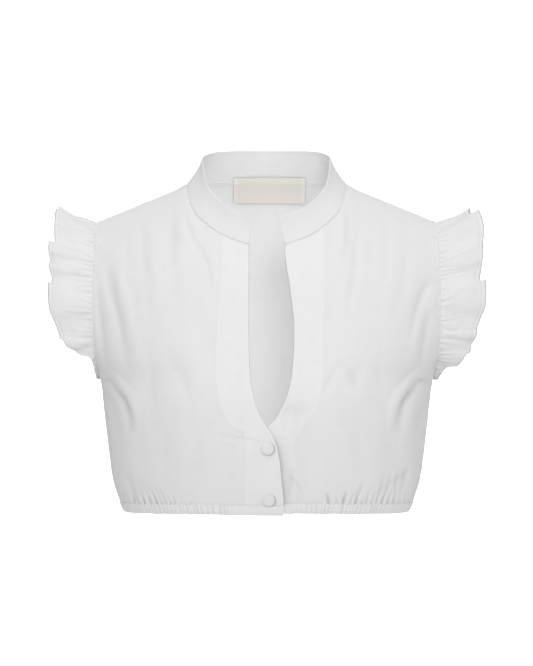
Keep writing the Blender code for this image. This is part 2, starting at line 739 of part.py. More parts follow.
def front_skin(x, z, hand):
    """The front's outer face at a place in the front view, with its normal."""
    point = np.stack([x, form_y(x, z, FRONT), z], axis=-1)
    slope_x = (form_y(x + EPS, z, FRONT) - form_y(x - EPS, z, FRONT)) / (2 * EPS)
    slope_z = (form_y(x, z + EPS, FRONT) - form_y(x, z - EPS, FRONT)) / (2 * EPS)
    normal = unit(np.stack([slope_x, -np.ones_like(x), slope_z], axis=-1))
    return point + normal * lap_offset(x, z, hand)[..., None], normal


def armhole_loop():
    """The whole armhole of the +X side as a closed loop, from the underarm up the front."""
    front = to_side(armhole_points(FRONT), FRONT, 1)
    back = to_side(armhole_points(BACK), BACK, 1)
    loop = np.concatenate([front, back[::-1][1:], front[:1]])
    even = along(loop, np.linspace(0, 1, ARMHOLE_POINTS + 1))[:-1]
    for _ in range(ROUNDING_PASSES):
        neighbours = np.roll(even, 1, axis=0) + np.roll(even, -1, axis=0)
        even = even + ARMHOLE_ROUNDING * (neighbours - 2 * even)
    return np.concatenate([even, even[:1]])


def ruffle_surface(flute, w, table, hand):
    """A gathered strip round the armhole: flute counts the flutes round it and w runs outwards."""
    loop = armhole_loop()
    bounds = np.concatenate([[0], np.cumsum(table[:, 0])])
    bounds = bounds / bounds[-1]
    numbers = np.arange(len(bounds))
    share = np.interp(flute, numbers, bounds)
    root = along(loop, share)
    ahead = along(loop, (share + RUFFLE_TANGENT_SHARE) % 1)
    behind = along(loop, (share - RUFFLE_TANGENT_SHARE) % 1)
    tangent = unit((ahead - behind) * np.array([0.0, 1.0, 1.0]))
    radial = np.stack([0 * share, -tangent[..., 2], tangent[..., 1]], axis=-1)
    centre = loop[:-1].mean(axis=0)
    outward = np.sign(((root - centre) * radial).sum(axis=-1).mean())
    radial = radial * outward
    which = np.minimum(np.floor(flute + 1e-9).astype(int), len(table) - 1)
    wave = (1 - np.cos(2 * math.pi * flute)) / 2
    crest = table[which, 1] * wave
    arc = along_length(loop) * table[which, 0]
    lean = table[which, 2] * arc * wave
    front_half = np.where(share < 0.5, 1.0, -1.0)
    width = pchip(root[..., 2], RUFFLE_WIDTH[:, 0], RUFFLE_WIDTH[:, 1 if hand < 0 else 2])
    width = width + table[which, 3] * np.sqrt(wave)
    rise = RUFFLE_FLARE * width * w + crest * w ** CREST_POWER
    out = np.sqrt(np.maximum((width * w) ** 2 - (CREST_SHORTENING * rise) ** 2, 0))
    pucker = ROOT_GATHER * np.cos(2 * math.pi * flute * ROOT_GATHERS_PER_FLUTE)
    pucker = pucker * np.sin(math.pi * np.clip(w / ROOT_GATHER_REACH, 0, 1)) ** ROOT_GATHER_POWER
    place = root + tangent * (front_half * lean * w ** LEAN_POWER)[..., None]
    place = place + radial * (rise + pucker)[..., None]
    return place + np.array([1.0, 0, 0]) * (out + RUFFLE_GAP)[..., None]


def ruffle_normal(flute, w, table, hand):
    count = len(table)
    ahead = ruffle_surface((flute + RUFFLE_STEP) % count, w, table, hand)
    behind = ruffle_surface((flute - RUFFLE_STEP) % count, w, table, hand)
    outer = ruffle_surface(flute, np.clip(w + RUFFLE_STEP, 0, 1), table, hand)
    inner = ruffle_surface(flute, np.clip(w - RUFFLE_STEP, 0, 1), table, hand)
    return unit(np.cross(ahead - behind, outer - inner))


def ruffle(name, hand, table):
    flute = np.arange(len(table) * FLUTE_STEPS) / FLUTE_STEPS
    body_side = armhole_loop()[:, 0].min()
    outer, inner = [], []
    for w in RUFFLE_ROWS:
        level = np.full_like(flute, w)
        point = ruffle_surface(flute, level, table, hand)
        normal = ruffle_normal(flute, level, table, hand)
        for rows, lift in ((outer, CLOTH / 2), (inner, -CLOTH / 2)):
            row = point + normal * lift
            row[:, 0] = np.maximum(row[:, 0], body_side if w > 0 else point[:, 0])
            rows.append(row * np.array([hand, 1, 1]))
    return mesh_object(name, *wall_mesh(outer, inner, closed=True), WHITE_COTTON)


def button(name, x, z):
    """A cloth-covered dome button lying on the top front's closure."""
    place, normal = front_skin(np.array([-x]), np.array([z]), -1)
    place, normal = to_side(place, FRONT, -1)[0], normal[0] * np.array([-1, 1, 1])
    turn = np.linspace(0, math.pi / 2, 5)
    profile = [(BUTTON_FOOT_RADIUS, 0.0), (BUTTON_RADIUS, BUTTON_EDGE / 2)]
    for t in turn[:-1]:
        rise = BUTTON_EDGE + (BUTTON_DOME - BUTTON_EDGE) * math.sin(t)
        profile.append((BUTTON_RADIUS * math.cos(t), rise))
    side = unit(np.cross(normal, np.array([0, 0, 1.0])))
    upward = np.cross(side, normal)
    spin = np.arange(BUTTON_SEGMENTS) * 2 * math.pi / BUTTON_SEGMENTS
    ring = np.cos(spin)[:, None] * side + np.sin(spin)[:, None] * upward
    points = [place + normal * (rise + BUTTON_SEAT) + ring * radius for radius, rise in profile]
    count, base = BUTTON_SEGMENTS, []
    for k in range(len(points) - 1):
        base += zipper(count, count, k * count, (k + 1) * count, True)
    flat = np.concatenate(points)
    foot, tip = len(flat), len(flat) + 1
    flat = np.concatenate([flat, [points[0].mean(axis=0), place + normal * (BUTTON_DOME + BUTTON_SEAT)]])
    last = (len(points) - 1) * count
    for i in range(count):
        base.append((foot, (i + 1) % count, i))
        base.append((tip, last + i, last + (i + 1) % count))
    return mesh_object(name, flat, base, WHITE_COTTON)


def label(name):
    """The neck label inside the back, made from the back's points moved in."""
    x = LABEL_CENTRE_X + LABEL_WIDTH * (np.linspace(0, 1, LABEL_STEPS + 1) - 0.5)
    outer, inner = [], []
    for share in np.linspace(0, 1, LABEL_ROWS + 1):
        top = BACK_NECK_Z - LABEL_TOP_GAP - LABEL_TOP_BOW * (np.abs(x) / NECK_HALF_WIDTH) ** 3
        z = top - LABEL_HEIGHT * (1 - share)
        y = form_y(x, z, BACK) + SEAM_GAP / 2
        slope_x = (form_y(x + EPS, z, BACK) - form_y(x - EPS, z, BACK)) / (2 * EPS)
        slope_z = (form_y(x, z + EPS, BACK) - form_y(x, z - EPS, BACK)) / (2 * EPS)
        normal = unit(np.stack([-slope_x, np.ones_like(x), -slope_z], axis=-1))
        point = np.stack([x, y, z], axis=-1)
        near = CLOTH + LABEL_LIFT
        outer.append(point - normal * near)
        inner.append(point - normal * (near + LABEL_CLOTH))
    return mesh_object(name, *wall_mesh(outer, inner), CREAM_LABEL)


def main():
    for old in list(bpy.data.objects):
        bpy.data.objects.remove(old, do_unlink=True)
    group = bpy.data.collections.new(COLLECTION)
    bpy.context.scene.collection.children.link(group)
    front_panel("front_right", -1)
    front_panel("front_left", 1)
    back_panel("back")
    collar("collar")
    facing("facing_right", -1)
    facing("facing_left", 1)
    ruffle("ruffle_right", -1, RUFFLE_RIGHT)
    ruffle("ruffle_left", 1, RUFFLE_LEFT)
    front_casing("hem_casing_right", -1)
    front_casing("hem_casing_left", 1)
    back_casing("hem_casing_back")
    for name, (x, z) in BUTTONS.items():
        button(name, x, z)
    label("neck_label")


main()
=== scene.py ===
import math

import bmesh
import bpy
import numpy as np
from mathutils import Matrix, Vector


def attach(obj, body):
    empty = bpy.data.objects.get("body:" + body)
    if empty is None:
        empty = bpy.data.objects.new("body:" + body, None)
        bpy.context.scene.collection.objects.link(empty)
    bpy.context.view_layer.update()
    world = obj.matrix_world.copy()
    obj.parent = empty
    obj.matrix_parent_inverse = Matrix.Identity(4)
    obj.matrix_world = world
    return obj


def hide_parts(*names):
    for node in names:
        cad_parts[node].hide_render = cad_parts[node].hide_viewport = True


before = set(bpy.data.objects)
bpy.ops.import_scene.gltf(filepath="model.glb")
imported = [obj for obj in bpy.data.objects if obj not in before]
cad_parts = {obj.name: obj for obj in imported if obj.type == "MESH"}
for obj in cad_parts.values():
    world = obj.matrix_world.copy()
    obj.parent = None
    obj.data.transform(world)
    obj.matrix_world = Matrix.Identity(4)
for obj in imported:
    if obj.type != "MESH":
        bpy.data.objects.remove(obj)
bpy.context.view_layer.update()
mm = 0.001  # every shape below is worked out in millimetres
front, back = -1, 1
print("frame loaded")


# small maths that all the pieces share

def softCurve(at, xs, ys):
    # smooth line through a table: cubic pieces whose slopes are the harmonic mean of their neighbours
    at = np.asarray(at, float)
    step = np.diff(xs)
    slope = np.diff(ys) / step
    tangent = np.zeros(len(xs))
    same = slope[:-1] * slope[1:] > 0
    weightA, weightB = 2 * step[1:] + step[:-1], step[1:] + 2 * step[:-1]
    left, right = np.where(same, slope[:-1], 1), np.where(same, slope[1:], 1)
    tangent[1:-1] = np.where(same, (weightA + weightB) / (weightA / left + weightB / right), 0)
    tangent[0], tangent[-1] = slope[0], slope[-1]
    at = np.clip(at, xs[0], xs[-1])
    i = np.clip(np.searchsorted(xs, at, side="right") - 1, 0, len(step) - 1)
    t = (at - xs[i]) / step[i]
    start = (1 + 2 * t) * (1 - t) ** 2 * ys[i] + t * (1 - t) ** 2 * step[i] * tangent[i]
    return start + t * t * (3 - 2 * t) * ys[i + 1] + t * t * (t - 1) * step[i] * tangent[i + 1]


def ease(t):
    # 0 to 1 with level ends: 3t^2 - 2t^3
    t = np.clip(t, 0, 1)
    return t * t * (3 - 2 * t)


def unitOf(vectors):
    return vectors / np.maximum(np.linalg.norm(vectors, axis=-1, keepdims=True), 1e-12)


def scatter(number, seed):
    # a fixed value from 0 to 1 for each whole number: the fraction of a large sine
    value = np.sin(np.asarray(number, float) * 127.1 + seed * 311.7) * 43758.5453
    return value - np.floor(value)


def wander(x, seed):
    # smooth wave from -1 to 1 through one scattered value per unit of x
    x = np.asarray(x, float)
    low = np.floor(x)
    mix = ease(x - low)
    return (scatter(low, seed) * (1 - mix) + scatter(low + 1, seed) * mix) * 2 - 1


def wander2(x, y, seed):
    # the same in two directions: four scattered corners of a unit square, blended
    lowX, lowY = np.floor(x), np.floor(y)
    mixX, mixY = ease(x - lowX), ease(y - lowY)
    def corner(i, j):
        return scatter((lowX + i) + 57.0 * (lowY + j), seed)
    foot = corner(0, 0) * (1 - mixX) + corner(1, 0) * mixX
    top = corner(0, 1) * (1 - mixX) + corner(1, 1) * mixX
    return (foot * (1 - mixY) + top * mixY) * 2 - 1


def lineLength(points):
    return np.linalg.norm(np.diff(points, axis=0), axis=1).sum()


def alongLine(points, share):
    # the points at those shares of a line's length
    length = np.concatenate([[0], np.cumsum(np.linalg.norm(np.diff(points, axis=0), axis=1))])
    at = np.asarray(share, float) * length[-1]
    return np.stack([np.interp(at, length, points[:, k]) for k in range(points.shape[1])], axis=-1)


def alongTwo(first, second, knot, share):
    # the same along two lines that meet at the knot's share
    share = np.asarray(share, float)
    near = alongLine(first, np.clip(share / knot, 0, 1))
    far = alongLine(second, np.clip((share - knot) / (1 - knot), 0, 1))
    return np.where((share <= knot)[..., None], near, far)


def gridNormals(points):
    # cross product of the steps across and up the grid
    return unitOf(np.cross(np.gradient(points, axis=1), np.gradient(points, axis=0)))


def hollowOf(lift, passes, scale, closed=False):
    # how far each point lies below the mean of its neighbourhood, from 0 to 1: the strength of the painted shade in
    # folds and seams
    mean = lift
    for _ in range(passes):
        wide = np.pad(mean, ((1, 1), (0, 0)), mode="edge")
        wide = np.pad(wide, ((0, 0), (1, 1)), mode="wrap" if closed else "edge")
        mean = (wide[1:-1, :-2] + wide[1:-1, 2:] + wide[:-2, 1:-1] + wide[2:, 1:-1]) / 4
    return np.clip((mean - lift) / scale, 0, 1)


def runOf(points, axis):
    # distance walked along the grid from its first row or column
    step = np.linalg.norm(np.diff(points, axis=axis), axis=-1)
    return np.concatenate([np.zeros_like(np.take(step, [0], axis=axis)), np.cumsum(step, axis=axis)], axis=axis)


def addSurface(name, points, material, thickness, uv=None, masks=None, closed=False, flip=False):
    # a grid of points, rows by columns, made a mesh with a wall on its inner side
    rows, columns = points.shape[:2]
    index = np.arange(rows * columns).reshape(rows, columns)
    if closed:
        index = np.concatenate([index, index[:, :1]], axis=1)
    quads = np.stack([index[:-1, :-1], index[:-1, 1:], index[1:, 1:], index[1:, :-1]], axis=-1).reshape(-1, 4)
    if flip:
        quads = quads[:, ::-1]
    mesh = bpy.data.meshes.new(name)
    mesh.from_pydata((points.reshape(-1, 3) * mm).tolist(), [], quads.tolist())
    if uv is None:
        uv = np.stack([runOf(points, 1), runOf(points, 0)], axis=-1)
    layer = mesh.uv_layers.new(name="cloth")
    corners = np.empty(len(mesh.loops), int)
    mesh.loops.foreach_get("vertex_index", corners)
    layer.data.foreach_set("uv", (uv.reshape(-1, 2) * mm)[corners].ravel())
    for key, values in (masks or {}).items():
        spot = mesh.attributes.new(key, "FLOAT", "POINT")
        spot.data.foreach_set("value", np.ascontiguousarray(values, dtype=float).ravel())
    mesh.materials.append(material)
    mesh.shade_smooth()
    piece = bpy.data.objects.new(name, mesh)
    bpy.context.scene.collection.objects.link(piece)
    if thickness:
        wall = piece.modifiers.new("wall", "SOLIDIFY")
        wall.thickness = thickness * mm
        wall.offset = -1.0
        wall.use_rim = True
    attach(piece, "root")
    return piece


# materials

clothLook = {
    "white": (0.78, 0.78, 0.785, 1.0),
    "doubleWhite": (0.825, 0.825, 0.83, 1.0),
    "roughness": 0.88,
    "threadPitch": 0.42,
    "threadDepth": 0.05,
    "slub": 0.018,
    "mottle": 0.012,
    "glow": 0.45,
    "glowReach": 0.7,
    # painted shade: the grey that the "hollow" mask mixes into the cloth in folds and seams
    "paintedShadeTone": (0.36, 0.36, 0.375, 1.0),
}


def newGroup(name, inputs, outputs):
    group = bpy.data.node_groups.new(name, "ShaderNodeTree")
    for label, kind, value in inputs:
        socket = group.interface.new_socket(label, in_out="INPUT", socket_type=kind)
        if value is not None:
            socket.default_value = value
    for label, kind in outputs:
        group.interface.new_socket(label, in_out="OUTPUT", socket_type=kind)
    return group, group.nodes.new("NodeGroupInput"), group.nodes.new("NodeGroupOutput")


def addMath(tree, operation, a, b):
    node = tree.nodes.new("ShaderNodeMath")
    node.operation = operation
    for socket, value in zip(node.inputs, (a, b)):
        if isinstance(value, (int, float)):
            socket.default_value = value
        else:
            tree.links.new(value, socket)
    return node.outputs[0]


def makeWeaveGroup():
    # plain weave: two crossed bands of threads give the height, and uneven yarn gives the tone
    group, inlet, outlet = newGroup(
        "plainWeave",
        [("Vector", "NodeSocketVector", None), ("Color", "NodeSocketColor", (0.8, 0.8, 0.8, 1)),
         ("Pitch", "NodeSocketFloat", 0.42), ("Slub", "NodeSocketFloat", 0.02), ("Mottle", "NodeSocketFloat", 0.01)],
        [("Color", "NodeSocketColor"), ("Height", "NodeSocketFloat")],
    )
    parts = group.nodes.new("ShaderNodeSeparateXYZ")
    group.links.new(inlet.outputs["Vector"], parts.inputs[0])
    turns = addMath(group, "DIVIDE", 2 * math.pi / mm, inlet.outputs["Pitch"])
    waves = []
    for axis in ("X", "Y"):
        angle = addMath(group, "MULTIPLY", parts.outputs[axis], turns)
        waves.append(addMath(group, "SINE", angle, 0))
    group.links.new(addMath(group, "MULTIPLY", waves[0], waves[1]), outlet.inputs["Height"])
    tones = []
    for scale, name in (((260, 22, 1), "warp"), ((20, 240, 1), "weft"), ((38, 38, 1), "mottle")):
        mapping = group.nodes.new("ShaderNodeMapping")
        mapping.inputs["Scale"].default_value = scale
        noise = group.nodes.new("ShaderNodeTexNoise")
        noise.label = name
        noise.inputs["Scale"].default_value = 1.0
        noise.inputs["Detail"].default_value = 2.0
        group.links.new(inlet.outputs["Vector"], mapping.inputs["Vector"])
        group.links.new(mapping.outputs[0], noise.inputs["Vector"])
        tones.append(addMath(group, "SUBTRACT", noise.outputs["Fac"], 0.5))
    yarn = addMath(group, "MULTIPLY", addMath(group, "ADD", tones[0], tones[1]), inlet.outputs["Slub"])
    patch = addMath(group, "MULTIPLY", tones[2], inlet.outputs["Mottle"])
    gain = addMath(group, "ADD", addMath(group, "ADD", yarn, patch), 1.0)
    tint = group.nodes.new("ShaderNodeMix")
    tint.data_type = "RGBA"
    tint.blend_type = "MULTIPLY"
    tint.inputs["Factor"].default_value = 1.0
    grey = group.nodes.new("ShaderNodeCombineColor")
    for socket in grey.inputs:
        group.links.new(gain, socket)
    group.links.new(inlet.outputs["Color"], tint.inputs["A"])
    group.links.new(grey.outputs[0], tint.inputs["B"])
    group.links.new(tint.outputs["Result"], outlet.inputs["Color"])
    return group


weaveGroup = makeWeaveGroup()


def makeCloth(name, plain, double, pitch=clothLook["threadPitch"], depth=clothLook["threadDepth"], sheen=0.12):
    # woven cotton: the piece's own map carries the weave, its "doubled" mask lightens two layers, and
    # its "hollow" mask is painted shade: it darkens what lies deep in folds and seams
    material = bpy.data.materials.new(name)
    material.use_nodes = True
    tree = material.node_tree
    shader = tree.nodes["Principled BSDF"]
    shader.inputs["Roughness"].default_value = clothLook["roughness"]
    shader.inputs["Sheen Weight"].default_value = sheen
    shader.inputs["Sheen Roughness"].default_value = 0.6
    shader.inputs["Specular IOR Level"].default_value = 0.25
    shader.inputs["Subsurface Weight"].default_value = clothLook["glow"]
    shader.inputs["Subsurface Radius"].default_value = (1.0, 1.0, 1.0)
    shader.inputs["Subsurface Scale"].default_value = clothLook["glowReach"] * mm
    uvMap = tree.nodes.new("ShaderNodeUVMap")
    uvMap.uv_map = "cloth"
    mask = tree.nodes.new("ShaderNodeAttribute")
    mask.attribute_name = "doubled"
    layers = tree.nodes.new("ShaderNodeMix")
    layers.data_type = "RGBA"
    layers.inputs["A"].default_value = plain
    layers.inputs["B"].default_value = double
    tree.links.new(mask.outputs["Fac"], layers.inputs["Factor"])
    # painted shade: the "hollow" mask mixes the painted shade tone into the cloth's colour
    hollow = tree.nodes.new("ShaderNodeAttribute")
    hollow.attribute_name = "hollow"
    shaded = tree.nodes.new("ShaderNodeMix")
    shaded.data_type = "RGBA"
    shaded.inputs["B"].default_value = clothLook["paintedShadeTone"]
    tree.links.new(hollow.outputs["Fac"], shaded.inputs["Factor"])
    tree.links.new(layers.outputs["Result"], shaded.inputs["A"])
    weave = tree.nodes.new("ShaderNodeGroup")
    weave.node_tree = weaveGroup
    weave.inputs["Pitch"].default_value = pitch
    weave.inputs["Slub"].default_value = clothLook["slub"]
    weave.inputs["Mottle"].default_value = clothLook["mottle"]
    tree.links.new(uvMap.outputs["UV"], weave.inputs["Vector"])
    tree.links.new(shaded.outputs["Result"], weave.inputs["Color"])
    tree.links.new(weave.outputs["Color"], shader.inputs["Base Color"])
    bump = tree.nodes.new("ShaderNodeBump")
    bump.inputs["Strength"].default_value = 0.35
    bump.inputs["Distance"].default_value = depth * mm
    tree.links.new(weave.outputs["Height"], bump.inputs["Height"])
    tree.links.new(bump.outputs["Normal"], shader.inputs["Normal"])
    return material


cotton = makeCloth("whiteCotton", clothLook["white"], clothLook["doubleWhite"])
thread = makeCloth("sewingThread", (0.80, 0.80, 0.80, 1), (0.80, 0.80, 0.80, 1), pitch=0.2)
tagCloth = makeCloth("creamTag", (0.76, 0.735, 0.68, 1), (0.80, 0.78, 0.73, 1), pitch=0.3, sheen=0.3)
print("materials made")


# the hollow form: what the panels are cut for

bodyForm = {
    # height, half width, depth to the front and to the back at the centre
    "sections": np.array([
        (-324, 144.5, 104, 84),
        (-313, 149.5, 109, 86),
        (-290, 157.0, 117, 89),
        (-250, 162.5, 125, 93),
        (-215, 166.5, 127, 96),
        (-194, 169.0, 125, 98),
        (-170, 183.0, 121, 100),
        (-150, 191.0, 117, 101),
        (-115, 197.0, 109, 101),
        (-60, 200.0, 93, 95),
        (0, 200.0, 78, 86),
        (45, 200.0, 70, 80),
    ], float),
    # distance from the centre, height of the form's top in front and behind
    "shoulder": np.array([
        (0, 5.0, 42.0),
        (20, 4.5, 40.5),
        (41, 3.5, 34.0),
        (62, 3.0, 22.0),
        (75, 4.0, 10.0),
        (80, 4.5, 4.5),
        (95, -2.5, -2.5),
        (118, -12.2, -12.2),
        (173, -35.0, -35.0),
        (205, -48.0, -48.0),
    ], float),
    "frontSquareness": 2.5,
    "backSquareness": 2.4,
    "bust": {"x": 72.0, "z": -212.0, "across": 42.0, "tall": 55.0, "depth": 4.0},
    "shoulderRound": 95.0,
    "shoulderPower": 0.53,
    "ridgeBack": 8.0,
    "ridgeRun": 70.0,
    "neckHalfWidth": 80.0,
    "tipX": 173.0,
    "tipZ": -35.0,
    "underarmZ": -194.0,
    "footZ": -313.7,
    "hemZ": -324.0,
    "neckEndZ": -60.0,
    "backNeckZ": 9.0,
    "armhole": np.array([(-194, 169.0), (-160, 172.5), (-100, 173.5), (-35, 173.0)], float),
    # height, edge of the right front and of the left front
    "opening": np.array([
        (-326, 17.0, -16.0),
        (-309, 17.0, -16.0),
        (-293, 15.2, -15.0),
        (-276, 13.6, -13.5),
        (-260, 10.8, -10.0),
        (-248, 6.4, -5.0),
        (-239, 0.6, 1.0),
        (-232, -3.6, 8.2),
        (-222, -8.2, 13.6),
        (-213, -11.2, 17.9),
        (-194, -15.0, 23.2),
        (-184, -16.0, 24.7),
        (-145, -17.0, 26.7),
        (-106, -17.1, 22.9),
        (-67, -17.1, 18.0),
        (-60, -17.1, 18.2),
    ], float),
    "frontNeck": np.array([(18, -60.0), (41, -51.5), (60, -38.0), (71, -26.0), (77, -10.0), (80, 4.5)], float),
    "underarmShare": 0.375,
    "neckEndShare": 0.72,
    "backNeckShare": 0.5,
    # the hem hangs lower towards the side seams, and at the end of the front that laps on top
    "droop": {"centre": 1.0, "side": 4.2, "power": 2.5, "half": 145.0, "lap": 1.8, "lapStart": 105.0, "lapRun": 120.0, "topZ": -230.0},
}


def formWidth(z):
    return softCurve(z, bodyForm["sections"][:, 0], bodyForm["sections"][:, 1])


def shoulderZ(x, side):
    table = bodyForm["shoulder"]
    return softCurve(np.abs(x), table[:, 0], table[:, 1 if side == front else 2])


def formY(x, z, side):
    # a squared oval at each height, closing over towards the shoulder line as a sine to a power
    table, bust = bodyForm["sections"], bodyForm["bust"]
    depth = softCurve(z, table[:, 0], table[:, 2 if side == front else 3])
    if side == front:
        spread = ((np.abs(x) - bust["x"]) / bust["across"]) ** 2 + ((z - bust["z"]) / bust["tall"]) ** 2
        depth = depth + bust["depth"] * np.exp(-spread)
    square = bodyForm["frontSquareness"] if side == front else bodyForm["backSquareness"]
    across = np.sqrt(np.clip(1 - np.clip(np.abs(x) / formWidth(z), 0, 1) ** square, 0, 1))
    drop = np.clip((shoulderZ(x, side) - z) / bodyForm["shoulderRound"], 0, 1)
    over = np.sin(drop * math.pi / 2) ** bodyForm["shoulderPower"]
    ridge = bodyForm["ridgeBack"] * (1 - ease((np.abs(x) - bodyForm["neckHalfWidth"]) / bodyForm["ridgeRun"]))
    return ridge + side * (depth - side * ridge) * across * over


def hemDroop(x, z, side, hand):
    # how far the cloth hangs lower near the hem, for points on the +X side
    look = bodyForm["droop"]
    drop = look["centre"] + look["side"] * np.abs(x / look["half"]) ** look["power"]
    if side == front and hand < 0:
        drop = drop + look["lap"] * ease((look["lapStart"] - x) / look["lapRun"])
    return drop * ease((look["topZ"] - z) / (look["topZ"] - bodyForm["hemZ"]))


def onForm(x, z, side):
    return np.stack([x, formY(x, z, side), z], axis=-1)


def openingX(z, hand):
    return hand * softCurve(z, bodyForm["opening"][:, 0], bodyForm["opening"][:, 1 if hand < 0 else 2])


def armholeLine(side):
    turn = np.linspace(0, math.pi, 240)
    low, high = bodyForm["underarmZ"], bodyForm["tipZ"]
    z = (low + high) / 2 - (high - low) / 2 * np.cos(turn)
    return onForm(softCurve(z, bodyForm["armhole"][:, 0], bodyForm["armhole"][:, 1]), z, side)


def frontNeckLine(hand):
    table = bodyForm["frontNeck"]
    share, at = np.linspace(0, 1, len(table)), np.linspace(0, 1, 90)
    x, z = softCurve(at, share, table[:, 0]), softCurve(at, share, table[:, 1])
    x = x + (openingX(bodyForm["neckEndZ"], hand) - x[0]) * (1 - ease(2 * at))
    return onForm(x, z, front)


def backNeckLine():
    x = bodyForm["neckHalfWidth"] * np.sin(np.linspace(0, math.pi / 2, 90))
    low, high = bodyForm["backNeckZ"], shoulderZ(bodyForm["neckHalfWidth"], back)
    return onForm(x, low + (high - low) * (x / bodyForm["neckHalfWidth"]) ** 3, back)


def innerEdge(v, side, hand):
    # the opening and neckline in front, the centre line behind
    if side == back:
        z = np.linspace(bodyForm["footZ"], bodyForm["backNeckZ"], 160)
        return alongLine(onForm(0 * z, z, back), v)
    z = np.linspace(bodyForm["footZ"], bodyForm["neckEndZ"], 300)
    return alongTwo(onForm(openingX(z, hand), z, front), frontNeckLine(hand), bodyForm["neckEndShare"], v)


def outerEdge(v, side):
    # the side seam and the armhole
    z = np.linspace(bodyForm["footZ"], bodyForm["underarmZ"], 80)
    seam = np.stack([formWidth(z), 0 * z, z], axis=1)
    return alongTwo(seam, armholeLine(side), bodyForm["underarmShare"], v)


def topEdge(u, side):
    # the shoulder seam, after the back neckline on the back
    x = np.linspace(bodyForm["neckHalfWidth"], bodyForm["tipX"], 120)
    seam = onForm(x, shoulderZ(x, side), side)
    if side == front:
        return alongLine(seam, u)
    return alongTwo(backNeckLine(), seam, bodyForm["backNeckShare"], u)


def panelBase(u, v, side, hand):
    # a patch between its four edges, blended in height and in angle round the form
    def flatten(points):
        turn = np.arcsin(np.clip(points[..., 0] / formWidth(points[..., 2]), -1, 1))
        return np.stack([turn, points[..., 2]], axis=-1)
    ends = np.array([0.0, 1.0])
    inner, outer = flatten(innerEdge(ends, side, hand)), flatten(outerEdge(ends, side))
    left, right, upper = flatten(innerEdge(v, side, hand)), flatten(outerEdge(v, side)), flatten(topEdge(u, side))
    lower = np.stack([inner[0, 0] * (1 - u) + outer[0, 0] * u, np.full_like(u, bodyForm["footZ"])], axis=-1)
    u, v = u[..., None], v[..., None]
    corners = (1 - u) * (1 - v) * inner[0] + u * (1 - v) * outer[0] + (1 - u) * v * inner[1] + u * v * outer[1]
    spot = (1 - u) * left + u * right + (1 - v) * lower + v * upper - corners
    return onForm(formWidth(spot[..., 1]) * np.sin(spot[..., 0]), spot[..., 1], side)


def strokeLift(x, z, strokes):
    # soft creases: each follows a bent line through three places in the front view, and presses the
    # cloth in along a bell curve, with a lower ridge on the side that the last column names
    lift = np.zeros_like(x)
    t = np.linspace(0, 1, 90)
    for x0, z0, x1, z1, x2, z2, depth, width, ridge in strokes:
        bendX, bendZ = 2 * x1 - (x0 + x2) / 2, 2 * z1 - (z0 + z2) / 2
        lineX = (1 - t) ** 2 * x0 + 2 * t * (1 - t) * bendX + t * t * x2
        lineZ = (1 - t) ** 2 * z0 + 2 * t * (1 - t) * bendZ + t * t * z2
        near = (np.abs(x - (x0 + x2) / 2) < abs(x2 - x0) / 2 + 5 * width + 12)
        near &= (np.abs(z - (z0 + z2) / 2) < abs(z2 - z0) / 2 + 5 * width + 12)
        px, pz = x[near], z[near]
        offX, offZ = px[:, None] - lineX, pz[:, None] - lineZ
        distance = np.hypot(offX, offZ)
        closest = distance.argmin(axis=1)
        pick = np.arange(len(px))
        runX, runZ = np.gradient(lineX)[closest], np.gradient(lineZ)[closest]
        signed = np.sign(runX * offZ[pick, closest] - runZ * offX[pick, closest]) * distance[pick, closest]
        taper = np.sin(math.pi * (0.08 + 0.84 * t[closest])) ** 1.2
        dip = -np.exp(-((signed / width) ** 2))
        bank = 0.55 * np.exp(-(((np.abs(signed) - 2.0 * width) / (1.1 * width)) ** 2)) * (signed * ridge > 0)
        lift[near] += depth * taper * (dip + bank * abs(ridge))
    return lift


print("form worked out")


# body panels: two fronts and one back, each a fine grid over the form

bodyLook = {
    "cloth": 0.5,
    "acrossSteps": 220,
    "backSteps": 120,
    "levelFoot": 0.05,
    "seamFade": 0.05,
    "topLift": 1.0,
    "underDrop": 2.6,
    "lapReach": 26.0,
    "lapFade": 30.0,
    "lapTopZ": -212.0,
    "lapRise": 30.0,
    "lapShade": 0.34,
    "lapShadeReach": 5.0,
    "edgeRoll": 1.1,
    "stripWidth": 4.0,
    "stripLift": 0.5,
    "stitchLine": 3.3,
    "gatherCount": 17,
    "gatherDepth": 2.4,
    "pleatDepth": 0.55,
    "bandStep": 0.14,
    "paintedShadePasses": 14,
    "paintedShadeScale": 2.3,
}

